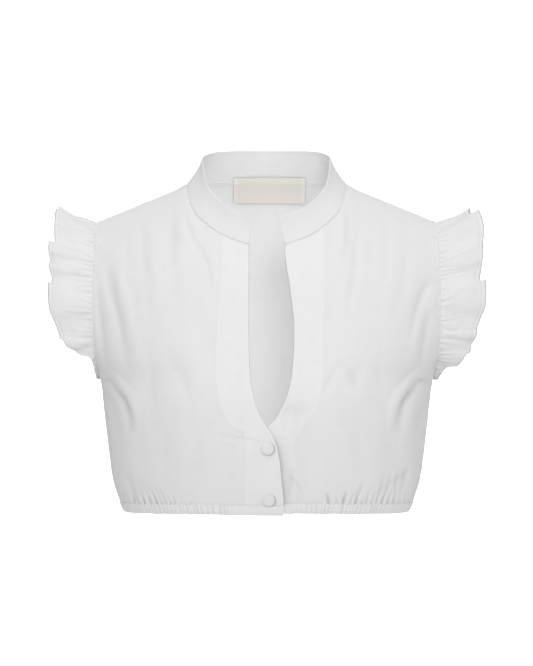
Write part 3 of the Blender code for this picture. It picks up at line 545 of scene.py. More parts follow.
# x0, z0, x1, z1, x2, z2, depth, width and the side of the ridge, with x outwards from the centre
frontStrokes = {
    -1: [
        (167, -98, 165, -135, 157, -190, 1.8, 4.5, 1),
        (160, -80, 152, -112, 138, -165, 2.0, 5.5, -1),
        (164, -199, 152, -202, 136, -240, 1.6, 4.2, -1.5),
        (149, -206, 140, -217, 135, -244, 2.6, 4.6, -1.2),
        (36, -248.5, 20, -250, 2, -253, 0.5, 1.1, 1),
        (47, -244, 40, -247, 30, -247, 0.3, 1.1, 1),
        (44, -254, 36, -256, 24, -256, 0.25, 1.2, -1),
        (166, -206, 154, -222, 147, -262, 1.4, 6.0, -1),
        (139, -40, 137, -70, 128, -120, 0.55, 5.5, 1),
        (124, -34, 121, -75, 112, -140, 0.6, 5.5, -1),
        (108, -24, 106, -60, 98, -108, 0.4, 5.0, 1),
        (84, -14, 76, -42, 62, -72, 0.9, 4.5, 1),
        (92, -30, 91, -80, 86, -140, 0.6, 7.0, 1),
        (66, -58, 58, -78, 52, -104, 0.5, 3.0, -1),
        (150, -130, 138, -170, 118, -205, 0.8, 8.0, 1),
        (64, -100, 56, -150, 50, -205, 0.5, 9.0, 1),
        (100, -150, 86, -185, 60, -212, 0.5, 9.0, -1),
        (116, -140, 113, -196, 108, -250, 0.9, 7.0, 1),
        (86, -176, 78, -200, 70, -226, 0.5, 6.0, 1),
        (130, -225, 122, -262, 116, -304, 0.7, 9.0, 1),
        (98, -235, 96, -270, 92, -306, 0.5, 9.0, -1),
        (66, -240, 70, -270, 72, -306, 0.35, 8.0, 1),
    ],
    1: [
        (163, -90, 152, -115, 144, -148, 1.8, 5.5, 1),
        (163, -115, 158, -142, 153, -178, 1.7, 4.5, -1),
        (161, -199, 147, -202, 131, -243, 1.6, 4.2, -1.5),
        (145, -206, 136, -217, 130, -246, 2.6, 4.8, -1.2),
        (11, -249.5, 16, -250.5, 22, -251, 0.4, 1.0, 1),
        (165, -210, 156, -228, 148, -264, 1.3, 6.0, -1),
        (88, -44, 84, -85, 77, -130, 0.9, 5.0, 1),
        (80, -14, 79, -52, 76, -96, 0.7, 4.5, -1),
        (120, -30, 118, -70, 110, -120, 0.5, 6.0, 1),
        (142, -44, 137, -84, 124, -128, 0.6, 6.5, -1),
        (62, -100, 58, -150, 56, -200, 0.5, 9.0, -1),
        (104, -146, 88, -184, 62, -210, 0.5, 9.0, 1),
        (72, -174, 62, -190, 50, -212, 0.6, 4.5, 1),
        (75, -174, 83, -190, 91, -214, 0.5, 5.5, -1),
        (112, -150, 110, -190, 105, -232, 0.8, 7.5, -1),
        (22, -274, 24, -292, 22, -310, 1.1, 5.0, 0),
        (23, -287, 30, -296, 36, -307, 0.4, 1.6, 1),
        (126, -230, 122, -262, 118, -304, 0.7, 9.0, 1),
        (84, -236, 86, -266, 88, -304, 0.5, 9.0, -1),
        (116, -286, 114, -298, 112, -308, 0.8, 2.6, 1),
        (123, -284, 121, -297, 119, -308, 0.9, 2.6, 1),
        (131, -281, 129, -295, 126, -307, 1.0, 2.8, 1),
        (139, -277, 137, -292, 133, -306, 1.0, 2.8, 1),
    ],
}

backStrokes = [
    (158, -90, 150, -130, 140, -176, 2.2, 7.0, 1),
    (160, -200, 148, -214, 134, -246, 3.2, 6.0, -1),
    (96, -40, 92, -92, 84, -150, 1.2, 8.0, 1),
    (70, -8, 68, -40, 60, -78, 0.8, 5.0, -1),
    (122, -40, 120, -80, 112, -122, 0.9, 6.0, 1),
    (40, -210, 32, -250, 22, -292, 1.0, 9.0, 1),
    (96, -220, 92, -258, 88, -300, 1.0, 7.0, -1),
    (-158, -96, -152, -134, -142, -182, 2.0, 7.0, 1),
    (-160, -202, -146, -216, -130, -240, 3.0, 6.0, 1),
    (-90, -46, -88, -100, -76, -160, 1.1, 8.0, -1),
    (-118, -44, -114, -84, -108, -130, 0.8, 6.0, 1),
    (-56, -214, -50, -252, -44, -296, 1.0, 9.0, -1),
    (-112, -226, -106, -260, -104, -298, 1.0, 7.0, 1),
]

# height and distance from the centre to which the cloth is doubled, beside each opening
bandLimits = {
    -1: np.array([
        (-326, 21), (-250, 21), (-244, 22), (-238, 33), (-225, 42), (-200, 48), (-171, 49), (-100, 45), (-60, 43.4), (-44, 43)
    ], float),
    1: np.array([
        (-326, 28.5), (-252, 28.5), (-243, 32.7), (-220, 48), (-194, 54), (-100, 56.5), (-60, 57), (-36, 57)
    ], float),
}

# hem gathers on the fronts: distance from the centre at the casing, lean outwards at the top,
# height, depth and half width
hemGathers = {
    -1: [
        (74, 0, 5, 0.6, 1.2), (83, 1, 6, 0.9, 1.3), (90, 2, 8, 1.0, 1.4), (95, 4, 11, 1.0, 1.3), (99.5, 7, 15, 1.6, 1.5),
        (104, 8, 18, 1.9, 1.5), (109, 10, 21, 2.5, 1.9), (115, 10, 24, 2.9, 2.2), (121.5, 9, 25, 3.0, 2.3),
        (127, 6, 20, 2.2, 2.2), (132.5, 6, 34, 3.0, 2.7), (138.5, 4, 26, 1.9, 2.3), (143, 2, 16, 1.3, 1.7),
    ],
    1: [
        (54, 0, 5, 0.6, 1.2), (61, -2, 12, 2.3, 1.9), (69, -1, 8, 1.2, 1.5), (75.7, 3, 14, 2.6, 1.8), (81.7, 6, 13, 1.6, 1.6),
        (87.6, 7, 21, 2.6, 1.9), (93.5, 3, 16, 1.2, 1.8), (98.5, 3, 15, 1.8, 1.6), (103.5, 5, 14, 1.9, 1.7),
        (108.4, 8, 19, 2.8, 1.9), (114.3, 11, 25, 3.3, 2.3), (120.6, 12, 30, 3.4, 2.3), (126.8, 11, 34, 3.6, 2.4),
        (132.5, 9, 38, 3.1, 2.6), (138, 6, 31, 2.1, 2.3), (143, 2, 18, 1.3, 1.7),
    ],
}


def closeEnds(steps, startShare, startSteps, endShare, endSteps):
    # shares from 0 to 1 with closer steps near both ends
    start = np.linspace(0, startShare, startSteps + 1)
    middle = np.linspace(startShare, 1 - endShare, steps + 1)
    end = np.linspace(1 - endShare, 1, endSteps + 1)
    return np.concatenate([start, middle[1:], end[1:]])


def lapLift(x, z, hand):
    look = bodyLook
    near = 1 - ease((np.abs(x) - look["lapReach"]) / look["lapFade"])
    low = ease((look["lapTopZ"] - z) / look["lapRise"] + 0.5)
    return near * low * (look["topLift"] if hand < 0 else -look["underDrop"])


def hemFolds(u, z, shown, seed, depth):
    # gathers as one raised cosine each, uneven in place, height and strength, and fine pleats among them
    count, foot = bodyLook["gatherCount"], bodyForm["footZ"]
    up = np.maximum(z - foot, 0)
    place = u * count + 0.45 * wander(u * count * 0.8, seed) + 0.004 * up * wander(u * count * 0.5, seed + 5)
    which = np.floor(place)
    strength = 0.35 + 0.65 * scatter(which, seed + 1)
    run = 6 + 17 * scatter(which, seed + 2) ** 1.5
    wave = ((1 - np.cos(2 * math.pi * place)) / 2) ** 1.25
    folds = depth * strength * wave * np.exp(-((up / run) ** 1.3))
    fine = u * count * 2.7 + 0.5 * wander(u * count * 2.1, seed + 3)
    pleats = np.cos(2 * math.pi * fine) * (0.4 + 0.6 * scatter(np.floor(fine), seed + 4))
    return shown * (folds + bodyLook["pleatDepth"] * pleats * np.exp(-up / 3.2))


def frontGathers(x, z, hand):
    # each gather is a narrow valley that leans, widens and fades going up, with a puffed ridge outside it
    up = np.maximum(z - bodyForm["footZ"], 0)
    lift = np.zeros_like(x)
    for start, lean, height, depth, width in hemGathers[hand]:
        t = np.clip(up / height, 0, 1)
        off = (x - start - lean * t ** 1.2) / (width * (1 + 0.5 * t))
        fade = (1 - t) ** 0.9 * (0.5 + 0.5 * ease(up / 2.5))
        lift += depth * fade * (0.5 * np.exp(-((off - 1.9) / 1.1) ** 2) - np.exp(-off ** 2))
    return lift


def softDrape(x, z, seed):
    # the cloth's slight unevenness: upright swells and small random ones
    return 0.35 * wander2(x / 21, z / 75, seed) + 0.16 * wander2(x / 9, z / 26, seed + 1) + 0.05 * wander2(
        x / 4.5, z / 5.5, seed + 2
    )


def armholeStrip(fromSeam, alongSeam, seed):
    # a pressed strip with a stitched groove, and the small puckers that its stitches draw
    look = bodyLook
    strip = look["stripLift"] * ease((look["stripWidth"] - fromSeam) / 0.6)
    groove = -0.28 * np.exp(-(((fromSeam - look["stitchLine"]) / 0.5) ** 2))
    pucker = wander(alongSeam / 3.4, seed) * 0.28 * np.exp(-(((fromSeam - look["stitchLine"]) / 5.0) ** 2))
    seam = -0.35 * np.exp(-((fromSeam / 0.7) ** 2))
    return strip + groove + pucker + seam


def panelSurface(side, hand, u, v):
    # the panel's outer face on its +X side, with the lift that its folds, seams and edges give it
    look = bodyLook
    base = panelBase(u, v, side, hand)
    normal = gridNormals(base) * (1 if side == front else -1)
    normal[..., 2] *= ease(v / look["levelFoot"])
    if side == back:
        normal[:, 0, 0] = 0
    normal = unitOf(normal)
    x, z = base[..., 0], base[..., 2]
    across, upward = runOf(base, 1), runOf(base, 0)
    fromEdge, fromSeam = across, across[:, -1:] - across
    fromTop = upward[-1:] - upward
    still = ease((1 - u) / look["seamFade"]) * ease((1 - v) / look["seamFade"]) * ease(v / look["seamFade"])
    isSleeve = ease((v - bodyForm["underarmShare"]) / 0.02)
    foot = -0.3 * np.exp(-((z - bodyForm["footZ"]) / 1.2) ** 2)
    seed = 3 + hand + 4 * (side == back)
    sideSeam = -0.7 * np.exp(-((fromSeam / 1.0) ** 2)) * (1 - isSleeve)
    sideSeam -= 0.25 * wander(upward / 5.5, seed + 7) * np.exp(-((fromSeam / 6.0) ** 2)) * (1 - isSleeve)
    lift = isSleeve * armholeStrip(fromSeam, upward, seed) + sideSeam
    lift = lift - 0.4 * np.exp(-((fromTop / 0.9) ** 2)) - 0.4 * np.exp(-(((fromTop - 4.2) / 0.8) ** 2))
    if side == front:
        nearOpening = 1 - ease((v - bodyForm["neckEndShare"]) / 0.01)
        still = still * ease(u / look["seamFade"])
        lift += lapLift(x, z, hand) + strokeLift(x, z, frontStrokes[hand]) * still
        roll = np.clip(look["edgeRoll"] - fromEdge, 0, look["edgeRoll"])
        lift += nearOpening * (np.sqrt(look["edgeRoll"] ** 2 - roll ** 2) - look["edgeRoll"])
        limit = softCurve(z, bandLimits[hand][:, 0], bandLimits[hand][:, 1])
        doubled = ease((limit - x) / 2.4 + 0.5)
        lift += look["bandStep"] * doubled * ease(v / 0.02)
        lift += 0.05 * wander2(fromEdge / 30, z / 4.4, seed + 9) * doubled * ease(fromEdge / 3)
        neckPucker = 0.22 * wander(upward / 3.6, seed + 8) * np.exp(-((fromEdge / 7) ** 2)) * (1 - nearOpening)
        lift += neckPucker - 0.1 * np.exp(-((fromEdge / 1.0) ** 2)) * (1 - nearOpening)
        gathers = frontGathers(x, z, hand) * ease(fromSeam / 4)
        pleats = hemFolds(u, z, 0.25 + 0.75 * ease((x - 60) / 30), seed + 20, 0.0)
        gathers += pleats * ease((x - (44 if hand < 0 else 32)) / 20)
    else:
        doubled = np.zeros_like(u)
        gathers = hemFolds(u, z, ease(fromSeam / 6), seed + 20, bodyLook["gatherDepth"])
    quiet = ease(fromSeam / 8) * ease(fromTop / 6) * ease(fromEdge / 6 if side == front else 1)
    lift += softDrape(x, z, seed + 11) * quiet + gathers + foot
    base = base - hemDroop(x, z, side, hand)[..., None] * np.array([0, 0, 1.0])
    return base, normal, lift, doubled


def panelShares(steps=bodyLook["acrossSteps"]):
    u = closeEnds(steps - 26, 0.03, 13, 0.035, 13)
    knots = [bodyForm["underarmShare"], bodyForm["neckEndShare"]]
    v = np.concatenate([
        np.linspace(0, 0.08, 26)[:-1],
        np.linspace(0.08, knots[0], 54)[:-1],
        np.linspace(knots[0], knots[1], 56)[:-1],
        np.linspace(knots[1], 0.975, 40)[:-1],
        np.linspace(0.975, 1, 8),
    ])
    return np.meshgrid(u, v)


def placeOn(points, hand):
    return points * np.array([hand, 1.0, 1.0])


def tuckedFoot(points, normal):
    # one more row under the first, in behind the casing's top edge
    row = points[:1] - normal[:1] * 1.1 - np.array([0, 0, 2.2])
    return np.concatenate([row, points])


def lapShade(x, z):
    # painted shadow: the left front is darkened beside the edge that laps over it
    fromLap = x + openingX(z, -1)
    beside = np.exp(-np.maximum(fromLap, 0) / bodyLook["lapShadeReach"]) * ease((-240 - z) / 25)
    return bodyLook["lapShade"] * beside


def panelMasks(lift, doubled, shade=0.0):
    # painted shade: the panels are darkened in their own folds and seams, and by the painted shadow beside the lap
    hollow = np.clip(hollowOf(lift, bodyLook["paintedShadePasses"], bodyLook["paintedShadeScale"]) + shade, 0, 1)
    masks = {"doubled": doubled, "hollow": hollow}
    return {key: np.concatenate([values[:1], values]) for key, values in masks.items()}


def makeFront(hand, name, node):
    u, v = panelShares()
    base, normal, lift, doubled = panelSurface(front, hand, u, v)
    points = base + normal * lift[..., None]
    whole = tuckedFoot(points, normal)
    masks = panelMasks(lift, doubled, lapShade(base[..., 0], base[..., 2]) if hand > 0 else 0.0)
    piece = addSurface(name, placeOn(whole, hand), cotton, bodyLook["cloth"], masks=masks, flip=hand < 0)
    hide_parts(node)
    return piece, points, normal


def makeFacing(hand, name, node, points, normal):
    # the band's second layer: the front's own points near the opening, moved inside it
    run = runOf(points, 1)
    limit = softCurve(points[..., 2], bandLimits[hand][:, 0], bandLimits[hand][:, 1])
    inside = np.array([np.interp(0, (x - edge)[:120], along[:120]) for x, edge, along in zip(points[..., 0], limit, run)])
    rows = np.flatnonzero(inside > 3)
    width = inside[rows]
    across = closeEnds(26, 0.03, 6, 0.03, 2)
    lines = []
    for row, wide in zip(rows, width):
        place = np.stack([np.interp(across * wide, run[row], points[row, :, k]) for k in range(3)], axis=-1)
        facingOut = np.stack([np.interp(across * wide, run[row], normal[row, :, k]) for k in range(3)], axis=-1)
        lines.append(place - facingOut * (bodyLook["cloth"] + 0.08))
    band = np.array(lines)
    piece = addSurface(
        name, placeOn(band, hand), cotton, bodyLook["cloth"], masks={"doubled": np.ones(band.shape[:2])}, flip=hand < 0
    )
    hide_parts(node)
    return piece


def makeBack():
    u, v = panelShares(bodyLook["backSteps"])
    base, normal, lift, _ = panelSurface(back, 1, u, v)
    strokes = strokeLift(base[..., 0], base[..., 2], backStrokes)
    mirrored = strokeLift(-base[..., 0], base[..., 2], backStrokes)
    fade = bodyLook["seamFade"]
    still = ease((1 - u) / fade) * ease((1 - v) / fade) * ease(v / fade)
    leftLift, rightLift = lift + strokes * still, lift + mirrored * still
    left, right = (base + normal * values[..., None] for values in (leftLift, rightLift))
    points = np.concatenate([placeOn(right[:, :0:-1], -1), left], axis=1)
    bothLifts = np.concatenate([rightLift[:, :0:-1], leftLift], axis=1)
    bothNormals = np.concatenate([placeOn(normal[:, :0:-1], -1), normal], axis=1)
    masks = panelMasks(bothLifts, np.zeros_like(bothLifts))
    piece = addSurface("backPanel", tuckedFoot(points, bothNormals), cotton, bodyLook["cloth"], masks=masks, flip=True)
    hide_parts("back")
    return piece, points


frontRight, rightPoints, rightNormals = makeFront(-1, "frontPanelRight", "front_right")
frontLeft, leftPoints, leftNormals = makeFront(1, "frontPanelLeft", "front_left")
facingRight = makeFacing(-1, "frontBandRight", "facing_right", rightPoints, rightNormals)
facingLeft = makeFacing(1, "frontBandLeft", "facing_left", leftPoints, leftNormals)
backPanel, backPoints = makeBack()
print("panels made")


# hem casings: a folded band round elastic, ribbed by its gathers

casingLook = {
    "height": 10.0,
    "stepsAlong": 420,
    "bulge": 0.9,
    "wall": 2.0,
    "ribs": 46,
    "ribDepth": 1.0,
}

# section of the band: how far out from the form it lies and its height share, down the outside first
casingSection = np.array([
    (-0.2, 1.00), (0.35, 0.985), (0.65, 0.93), (0.85, 0.80), (0.95, 0.62), (1.0, 0.45), (0.9, 0.28), (0.65, 0.14),
    (0.2, 0.04), (-0.5, 0.0), (-1.2, 0.04), (-1.6, 0.14), (-1.75, 0.35), (-1.75, 0.6), (-1.6, 0.85), (-1.2, 0.98),
], float)


def casingLine(side, hand, steps):
    u = np.linspace(0, 1, steps + 1)
    base = panelBase(u[None], np.zeros((1, steps + 1)), side, hand)[0]
    ahead = np.gradient(base, axis=0)
    normal = unitOf(np.stack([ahead[:, 1], -ahead[:, 0], 0 * u], axis=-1)) * (1 if side == front else -1)
    if side == back:
        normal[0] = (0, 1, 0)
    return base, normal, u


def makeCasing(side, hand):
    look, steps = casingLook, casingLook["stepsAlong"]
    base, normal, u = casingLine(side, hand, steps)
    along = runOf(base[None], 1)[0]
    seed = 31 + hand + 3 * (side == back)
    place = u * look["ribs"] + 0.5 * wander(u * look["ribs"] * 0.7, seed)
    rib = ((1 - np.cos(2 * math.pi * place)) / 2) ** 0.5 - 0.6
    rib = rib * (0.35 + 0.65 * scatter(np.floor(place + 0.5), seed + 1))
    if side == front:
        begin = base[0, 0] + (44 if hand < 0 else 34)
        ribbed = 0.12 + 0.88 * ease((base[:, 0] - begin) / 22)
        lap = lapLift(base[:, 0], base[:, 2], hand)
    else:
        ribbed, lap = np.ones_like(u), 0 * u
    ribbed = ribbed * ease((along[-1] - along) / 4)
    depths = bodyForm["sections"][:, 2 if side == front else 3]
    columns, hollows = [], []
    for out, share in casingSection:
        z = bodyForm["hemZ"] + look["height"] * share
        narrower = formWidth(z) / formWidth(bodyForm["footZ"])
        levels = bodyForm["sections"][:, 0]
        shallower = softCurve(z, levels, depths) / softCurve(bodyForm["footZ"], levels, depths)
        wave = rib * look["ribDepth"] * ribbed * (1.0 if out > 0 else 0.6)
        ripple = 0.12 * wander(along / 2.2 + 9 * share, seed + 2) * ribbed
        row = base * np.array([narrower, shallower, 1.0]) + normal * (lap + out + wave + ripple)[:, None]
        row[:, 2] = z + 0.22 * wander(along / 6, seed + 3) - hemDroop(base[:, 0], z, side, hand)
        columns.append(row)
        # painted shade: the valleys between the ribs are darkened
        hollows.append(hollowOf((rib * look["ribDepth"] * ribbed)[None], 8, 1.1)[0])
    grid = np.array(columns)
    return grid, np.array(hollows)


def addTube(name, grid, material, masks, flip):
    # a closed tube with flat ends: the grid's rows go round the section and its columns along it
    rows, columns = grid.shape[:2]
    index = np.arange(rows * columns).reshape(rows, columns)
    turn = np.concatenate([index, index[:1]], axis=0)
    quads = np.stack([turn[:-1, :-1], turn[:-1, 1:], turn[1:, 1:], turn[1:, :-1]], axis=-1).reshape(-1, 4)
    ends = [index[:, 0].tolist(), index[::-1, -1].tolist()]
    if flip:
        quads, ends = quads[:, ::-1], [end[::-1] for end in ends]
    mesh = bpy.data.meshes.new(name)
    mesh.from_pydata((grid.reshape(-1, 3) * mm).tolist(), [], quads.tolist() + ends)
    uv = np.stack([runOf(grid, 1), np.broadcast_to(runOf(grid, 0).mean(axis=1)[:, None], (rows, columns))], axis=-1)
    layer = mesh.uv_layers.new(name="cloth")
    corners = np.empty(len(mesh.loops), int)
    mesh.loops.foreach_get("vertex_index", corners)
    layer.data.foreach_set("uv", (uv.reshape(-1, 2) * mm)[corners].ravel())
    for key, values in masks.items():
        spot = mesh.attributes.new(key, "FLOAT", "POINT")
        spot.data.foreach_set("value", np.ascontiguousarray(values, dtype=float).ravel())
    mesh.materials.append(material)
    mesh.shade_smooth()
    piece = bpy.data.objects.new(name, mesh)
    bpy.context.scene.collection.objects.link(piece)
    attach(piece, "root")
    return piece


casingGrids = {}
for side, hand, name, node in (
    (front, -1, "hemCasingRight", "hem_casing_right"),
    (front, 1, "hemCasingLeft", "hem_casing_left"),
):
    grid, hollow = makeCasing(side, hand)
    casingGrids[name] = placeOn(grid, hand)
    masks = {"doubled": np.ones_like(hollow), "hollow": hollow}
    piece = addTube(name, placeOn(grid, hand), cotton, masks, flip=hand > 0)
    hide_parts(node)
halfGrid, halfHollow = makeCasing(back, 1)
wholeGrid = np.concatenate([placeOn(halfGrid[:, :0:-1], -1), halfGrid], axis=1)
casingGrids["hemCasingBack"] = wholeGrid
wholeHollow = np.concatenate([halfHollow[:, :0:-1], halfHollow], axis=1)
masks = {"doubled": np.ones_like(wholeHollow), "hollow": wholeHollow}
casingBack = addTube("hemCasingBack", wholeGrid, cotton, masks, flip=False)
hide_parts("hem_casing_back")
print("hem casings made")


# stand collar: a folded band on the neckline

collarLook = {
    "frontHeight": 26.5,
    "backHeight": 33.0,
    "backReach": 45.0,
    "frontLean": 5.0,
    "sideLean": 16.0,
    "backLean": 8.0,
    "pullRight": 2.0,
    "pullLeft": 4.5,
    "pullRun": 0.08,
    "hollow": 2.0,
    "wall": 1.6,
    "edgeRound": 0.8,
    "stitchInset": 2.6,
    "steps": 330,
}

# creases on the collar: share round it, share up it, the same at the other end, depth and width in mm
collarCreases = [
    (0.036, 0.20, 0.066, 0.75, 0.80, 1.9),
    (0.062, 0.05, 0.080, 0.50, 0.70, 1.6),
    (0.094, 0.15, 0.118, 0.80, 0.80, 2.2),
    (0.016, 0.05, 0.040, 0.35, 0.60, 1.5),
    (0.126, 0.10, 0.150, 0.60, 0.60, 2.0),
    (0.160, 0.30, 0.185, 0.85, 0.50, 2.4),
    (0.200, 0.10, 0.215, 0.60, 0.45, 2.4),
    (0.955, 0.05, 0.930, 0.45, 0.50, 1.8),
    (0.920, 0.10, 0.890, 0.75, 0.45, 2.4),
    (0.860, 0.15, 0.850, 0.60, 0.35, 2.4),
    (0.320, 0.10, 0.340, 0.80, 0.25, 3.6),
    (0.660, 0.15, 0.640, 0.75, 0.25, 3.6),
]


def wholeNeckline():
    right, left = (placeOn(frontNeckLine(hand), hand) for hand in (-1, 1))
    behind = backNeckLine()
    return np.concatenate([right, placeOn(behind[::-1][1:], -1), behind[1:], left[::-1][1:]])


def collarSurface(s, w):
    # from the neckline the band leans in towards the neck, hollowed a little halfway up
    look = collarLook
    foot = alongLine(wholeNeckline(), s)
    inward = -unitOf(foot * np.array([1.0, 0.75, 0.0]))
    sideways = np.abs(inward[..., 0]) ** 1.5
    endLean = np.where(foot[..., 1] < 0, look["frontLean"], look["backLean"])
    lean = endLean * (1 - sideways) + look["sideLean"] * sideways
    height = look["frontHeight"] + (look["backHeight"] - look["frontHeight"]) * ease(foot[..., 1] / look["backReach"])
    pull = look["pullRight"] * (1 - ease(s / look["pullRun"]))
    pull = pull - look["pullLeft"] * (1 - ease((1 - s) / look["pullRun"]))
    reach = lean * w + look["hollow"] * np.sin(math.pi * w)
    place = foot + inward * reach[..., None] + np.array([0, 0, 1.0]) * (height * w)[..., None]
    return place + np.array([1.0, 0, 0]) * (pull * w)[..., None]


def makeCollar():
    look = collarLook
    s = closeEnds(look["steps"] - 16, 0.008, 8, 0.008, 8)
    w = np.concatenate([np.linspace(-0.03, 0.05, 7)[:-1], np.linspace(0.05, 0.93, 30)[:-1], np.linspace(0.93, 1, 6)])
    shareAround, shareUp = np.meshgrid(s, w)
    base = collarSurface(shareAround, shareUp)
    normal = gridNormals(base)
    around = runOf(base, 1)
    total = around[:, -1:]
    fromTop = (1 - shareUp) * look["frontHeight"]
    fromEnd = np.minimum(around, total - around)
    crease = np.zeros_like(shareAround)
    for s0, w0, s1, w1, depth, width in collarCreases:
        t = np.clip((shareUp - w0) / (w1 - w0), 0, 1)
        off = (shareAround - s0 - (s1 - s0) * t) * total
        ends = ease((shareUp - w0 + 0.12) / 0.2) * ease((w1 + 0.12 - shareUp) / 0.2)
        crease += depth * ends * (-np.exp(-((off / width) ** 2)) + 0.45 * np.exp(-(((off - 2.1 * width) / width) ** 2)))
    lift = crease + 0.16 * wander2(around / 14, shareUp * 4, 61) + 0.07 * wander2(around / 5, shareUp * 9, 62)
    lift += 0.18 * wander(around / 3.2, 63) * np.exp(-((shareUp * look["frontHeight"] / 4.5) ** 2))
    lift += 0.4 * (1 - ease((shareUp + 0.02) / 0.09))
    edge = np.minimum(fromTop, fromEnd)
    lift -= 0.16 * np.exp(-(((edge - look["stitchInset"]) / 0.55) ** 2))
    rounding = np.clip(look["edgeRound"] - edge, 0, look["edgeRound"])
    lift += np.sqrt(np.maximum(look["edgeRound"] ** 2 - rounding ** 2, 0)) - look["edgeRound"]
    outer = base + normal * lift[..., None]
    depth = look["wall"] - 2 * (look["edgeRound"] - np.sqrt(np.maximum(look["edgeRound"] ** 2 - rounding ** 2, 0)))
    inner = base + normal * (0.2 * lift + 0.8 * (rounding > 0) * lift - np.maximum(depth, 0.08))[..., None]
    grid = np.concatenate([outer, inner[::-1]], axis=0)
    # painted shade: the outer face is darkened in its creases, less towards the foot; the inner face gets none
    hollow = hollowOf(lift, 8, 2.2) * ease(shareUp / 0.1)
    masks = {"doubled": np.full(grid.shape[:2], 0.2), "hollow": np.concatenate([hollow, 0 * hollow])}
    piece = addTube("standCollar", grid, cotton, masks, flip=False)
    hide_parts("collar")
    return piece, outer, normal


collar, collarOuter, collarNormals = makeCollar()
print("collar made")


# armhole ruffles: a gathered strip with a narrow hem

ruffleLook = {
    "flare": 0.30,
    "gap": 0.5,
    "crestPower": 1.2,
    "leanPower": 1.4,
    "shortening": 0.7,
    "rootGather": 1.0,
    "rootReach": 0.6,
    "cloth": 0.5,
    "stepsAround": 880,
    "rootFolds": 74,
    "rootDepth": 1.5,
    "hemWidth": 4.0,
    "roundingPasses": 6,
}

# share of the armhole, stand-off, lean, extra width and how far the flute's sides turn under
ruffleFlutes = {
    -1: np.array([
        (0.050, 2.0, 0.10, 0.0, 0.2),
        (0.050, 2.5, 0.12, 0.0, 0.3),
        (0.040, 3.5, 0.16, 1.0, 0.5),
        (0.045, 6.0, 0.26, 3.0, 0.8),
        (0.125, 9.5, 0.26, 7.0, 1.0),
        (0.035, 6.0, 0.30, 3.0, 0.8),
        (0.055, 7.5, 0.26, 5.0, 1.0),
        (0.105, 8.0, 0.20, 4.0, 0.8),
        (0.110, 9.0, 0.26, 5.0, 0.8),
        (0.100, 9.0, 0.26, 5.0, 0.9),
        (0.100, 9.0, 0.26, 5.0, 0.8),
        (0.085, 7.0, 0.24, 4.0, 0.7),
        (0.050, 3.5, 0.16, 1.0, 0.4),
        (0.050, 2.0, 0.10, 0.0, 0.2),
    ], float),
    1: np.array([
        (0.040, 2.0, 0.10, 0.0, 0.2),
        (0.035, 2.5, 0.14, 0.0, 0.3),
        (0.090, 6.0, 0.22, 3.0, 0.7),
        (0.035, 5.5, 0.26, 3.0, 0.8),
        (0.110, 9.5, 0.28, 8.0, 1.0),
        (0.080, 8.5, 0.26, 4.0, 0.9),
        (0.110, 8.0, 0.20, 4.0, 0.8),
        (0.110, 5.0, 0.26, 0.0, 0.8),
        (0.100, 9.0, 0.26, 5.0, 0.9),
        (0.100, 9.0, 0.26, 5.0, 0.8),
        (0.090, 7.0, 0.24, 4.0, 0.7),
        (0.050, 3.5, 0.16, 1.0, 0.4),
        (0.050, 2.0, 0.10, 0.0, 0.2),
    ], float),
}

# height, width of the right ruffle and of the left one between their flutes
ruffleWidths = np.array([
    (-194, 3.5, 5.0),
    (-182, 3.5, 9.0),
    (-174, 3.5, 20.5),
    (-166, 16.0, 27.5),
    (-158, 25.5, 31.0),
    (-148, 33.5, 34.5),
    (-130, 37.5, 38.5),
    (-110, 38.5, 38.5),
    (-85, 42.0, 40.0),
    (-60, 39.0, 44.0),
    (-35, 37.5, 34.0),
], float)


def armholeLoop():
    # the whole armhole on the +X side, evenly spread and slightly rounded
    loop = np.concatenate([armholeLine(front), armholeLine(back)[::-1][1:]])
    even = alongLine(np.concatenate([loop, loop[:1]]), np.linspace(0, 1, 241))[:-1]
    for _ in range(ruffleLook["roundingPasses"]):
        even = even + 0.25 * (np.roll(even, 1, axis=0) + np.roll(even, -1, axis=0) - 2 * even)
    return np.concatenate([even, even[:1]])


def ruffleBase(flute, w, hand):
    # each flute stands out and leans towards the underarm; its sides turn under as w grows
    look, table, loop = ruffleLook, ruffleFlutes[hand], armholeLoop()
    bounds = np.concatenate([[0], np.cumsum(table[:, 0])])
    bounds = bounds / bounds[-1]
    count = len(table)
    share = np.interp(flute % count, np.arange(count + 1), bounds)
    root = alongLine(loop, share)
    tangent = unitOf((alongLine(loop, (share + 0.004) % 1) - alongLine(loop, (share - 0.004) % 1)) * np.array([0, 1, 1]))
    radial = np.stack([0 * share, -tangent[..., 2], tangent[..., 1]], axis=-1)
    radial = radial * np.sign(((root - loop[:-1].mean(axis=0)) * radial).sum(axis=-1).mean())
    which = np.minimum(np.floor(flute % count + 1e-9).astype(int), count - 1)
    phase = flute % 1
    wave = (1 - np.cos(2 * math.pi * phase)) / 2
    arc = lineLength(loop) * table[which, 0]
    frontHalf = np.where(share < 0.5, 1.0, -1.0)
    column = 1 if hand < 0 else 2
    width = softCurve(root[..., 2], ruffleWidths[:, 0], ruffleWidths[:, column])
    width = width + table[which, 3] * np.sqrt(wave)
    rise = look["flare"] * width * w + table[which, 1] * wave * w ** look["crestPower"]
    out = np.sqrt(np.maximum((width * w) ** 2 - (look["shortening"] * rise) ** 2, 0))
    pucker = look["rootGather"] * np.cos(4 * math.pi * flute)
    pucker = pucker * np.sin(math.pi * np.clip(w / look["rootReach"], 0, 1)) ** 0.8
    turnUnder = table[which, 4] * arc * np.sin(4 * math.pi * phase) / (4 * math.pi) * ease(w / 0.7)
    along = frontHalf * table[which, 2] * arc * wave * w ** look["leanPower"] + turnUnder
    place = root + tangent * along[..., None] + radial * (rise + pucker)[..., None]
    return place + np.array([1.0, 0, 0]) * (out + look["gap"])[..., None], share, width


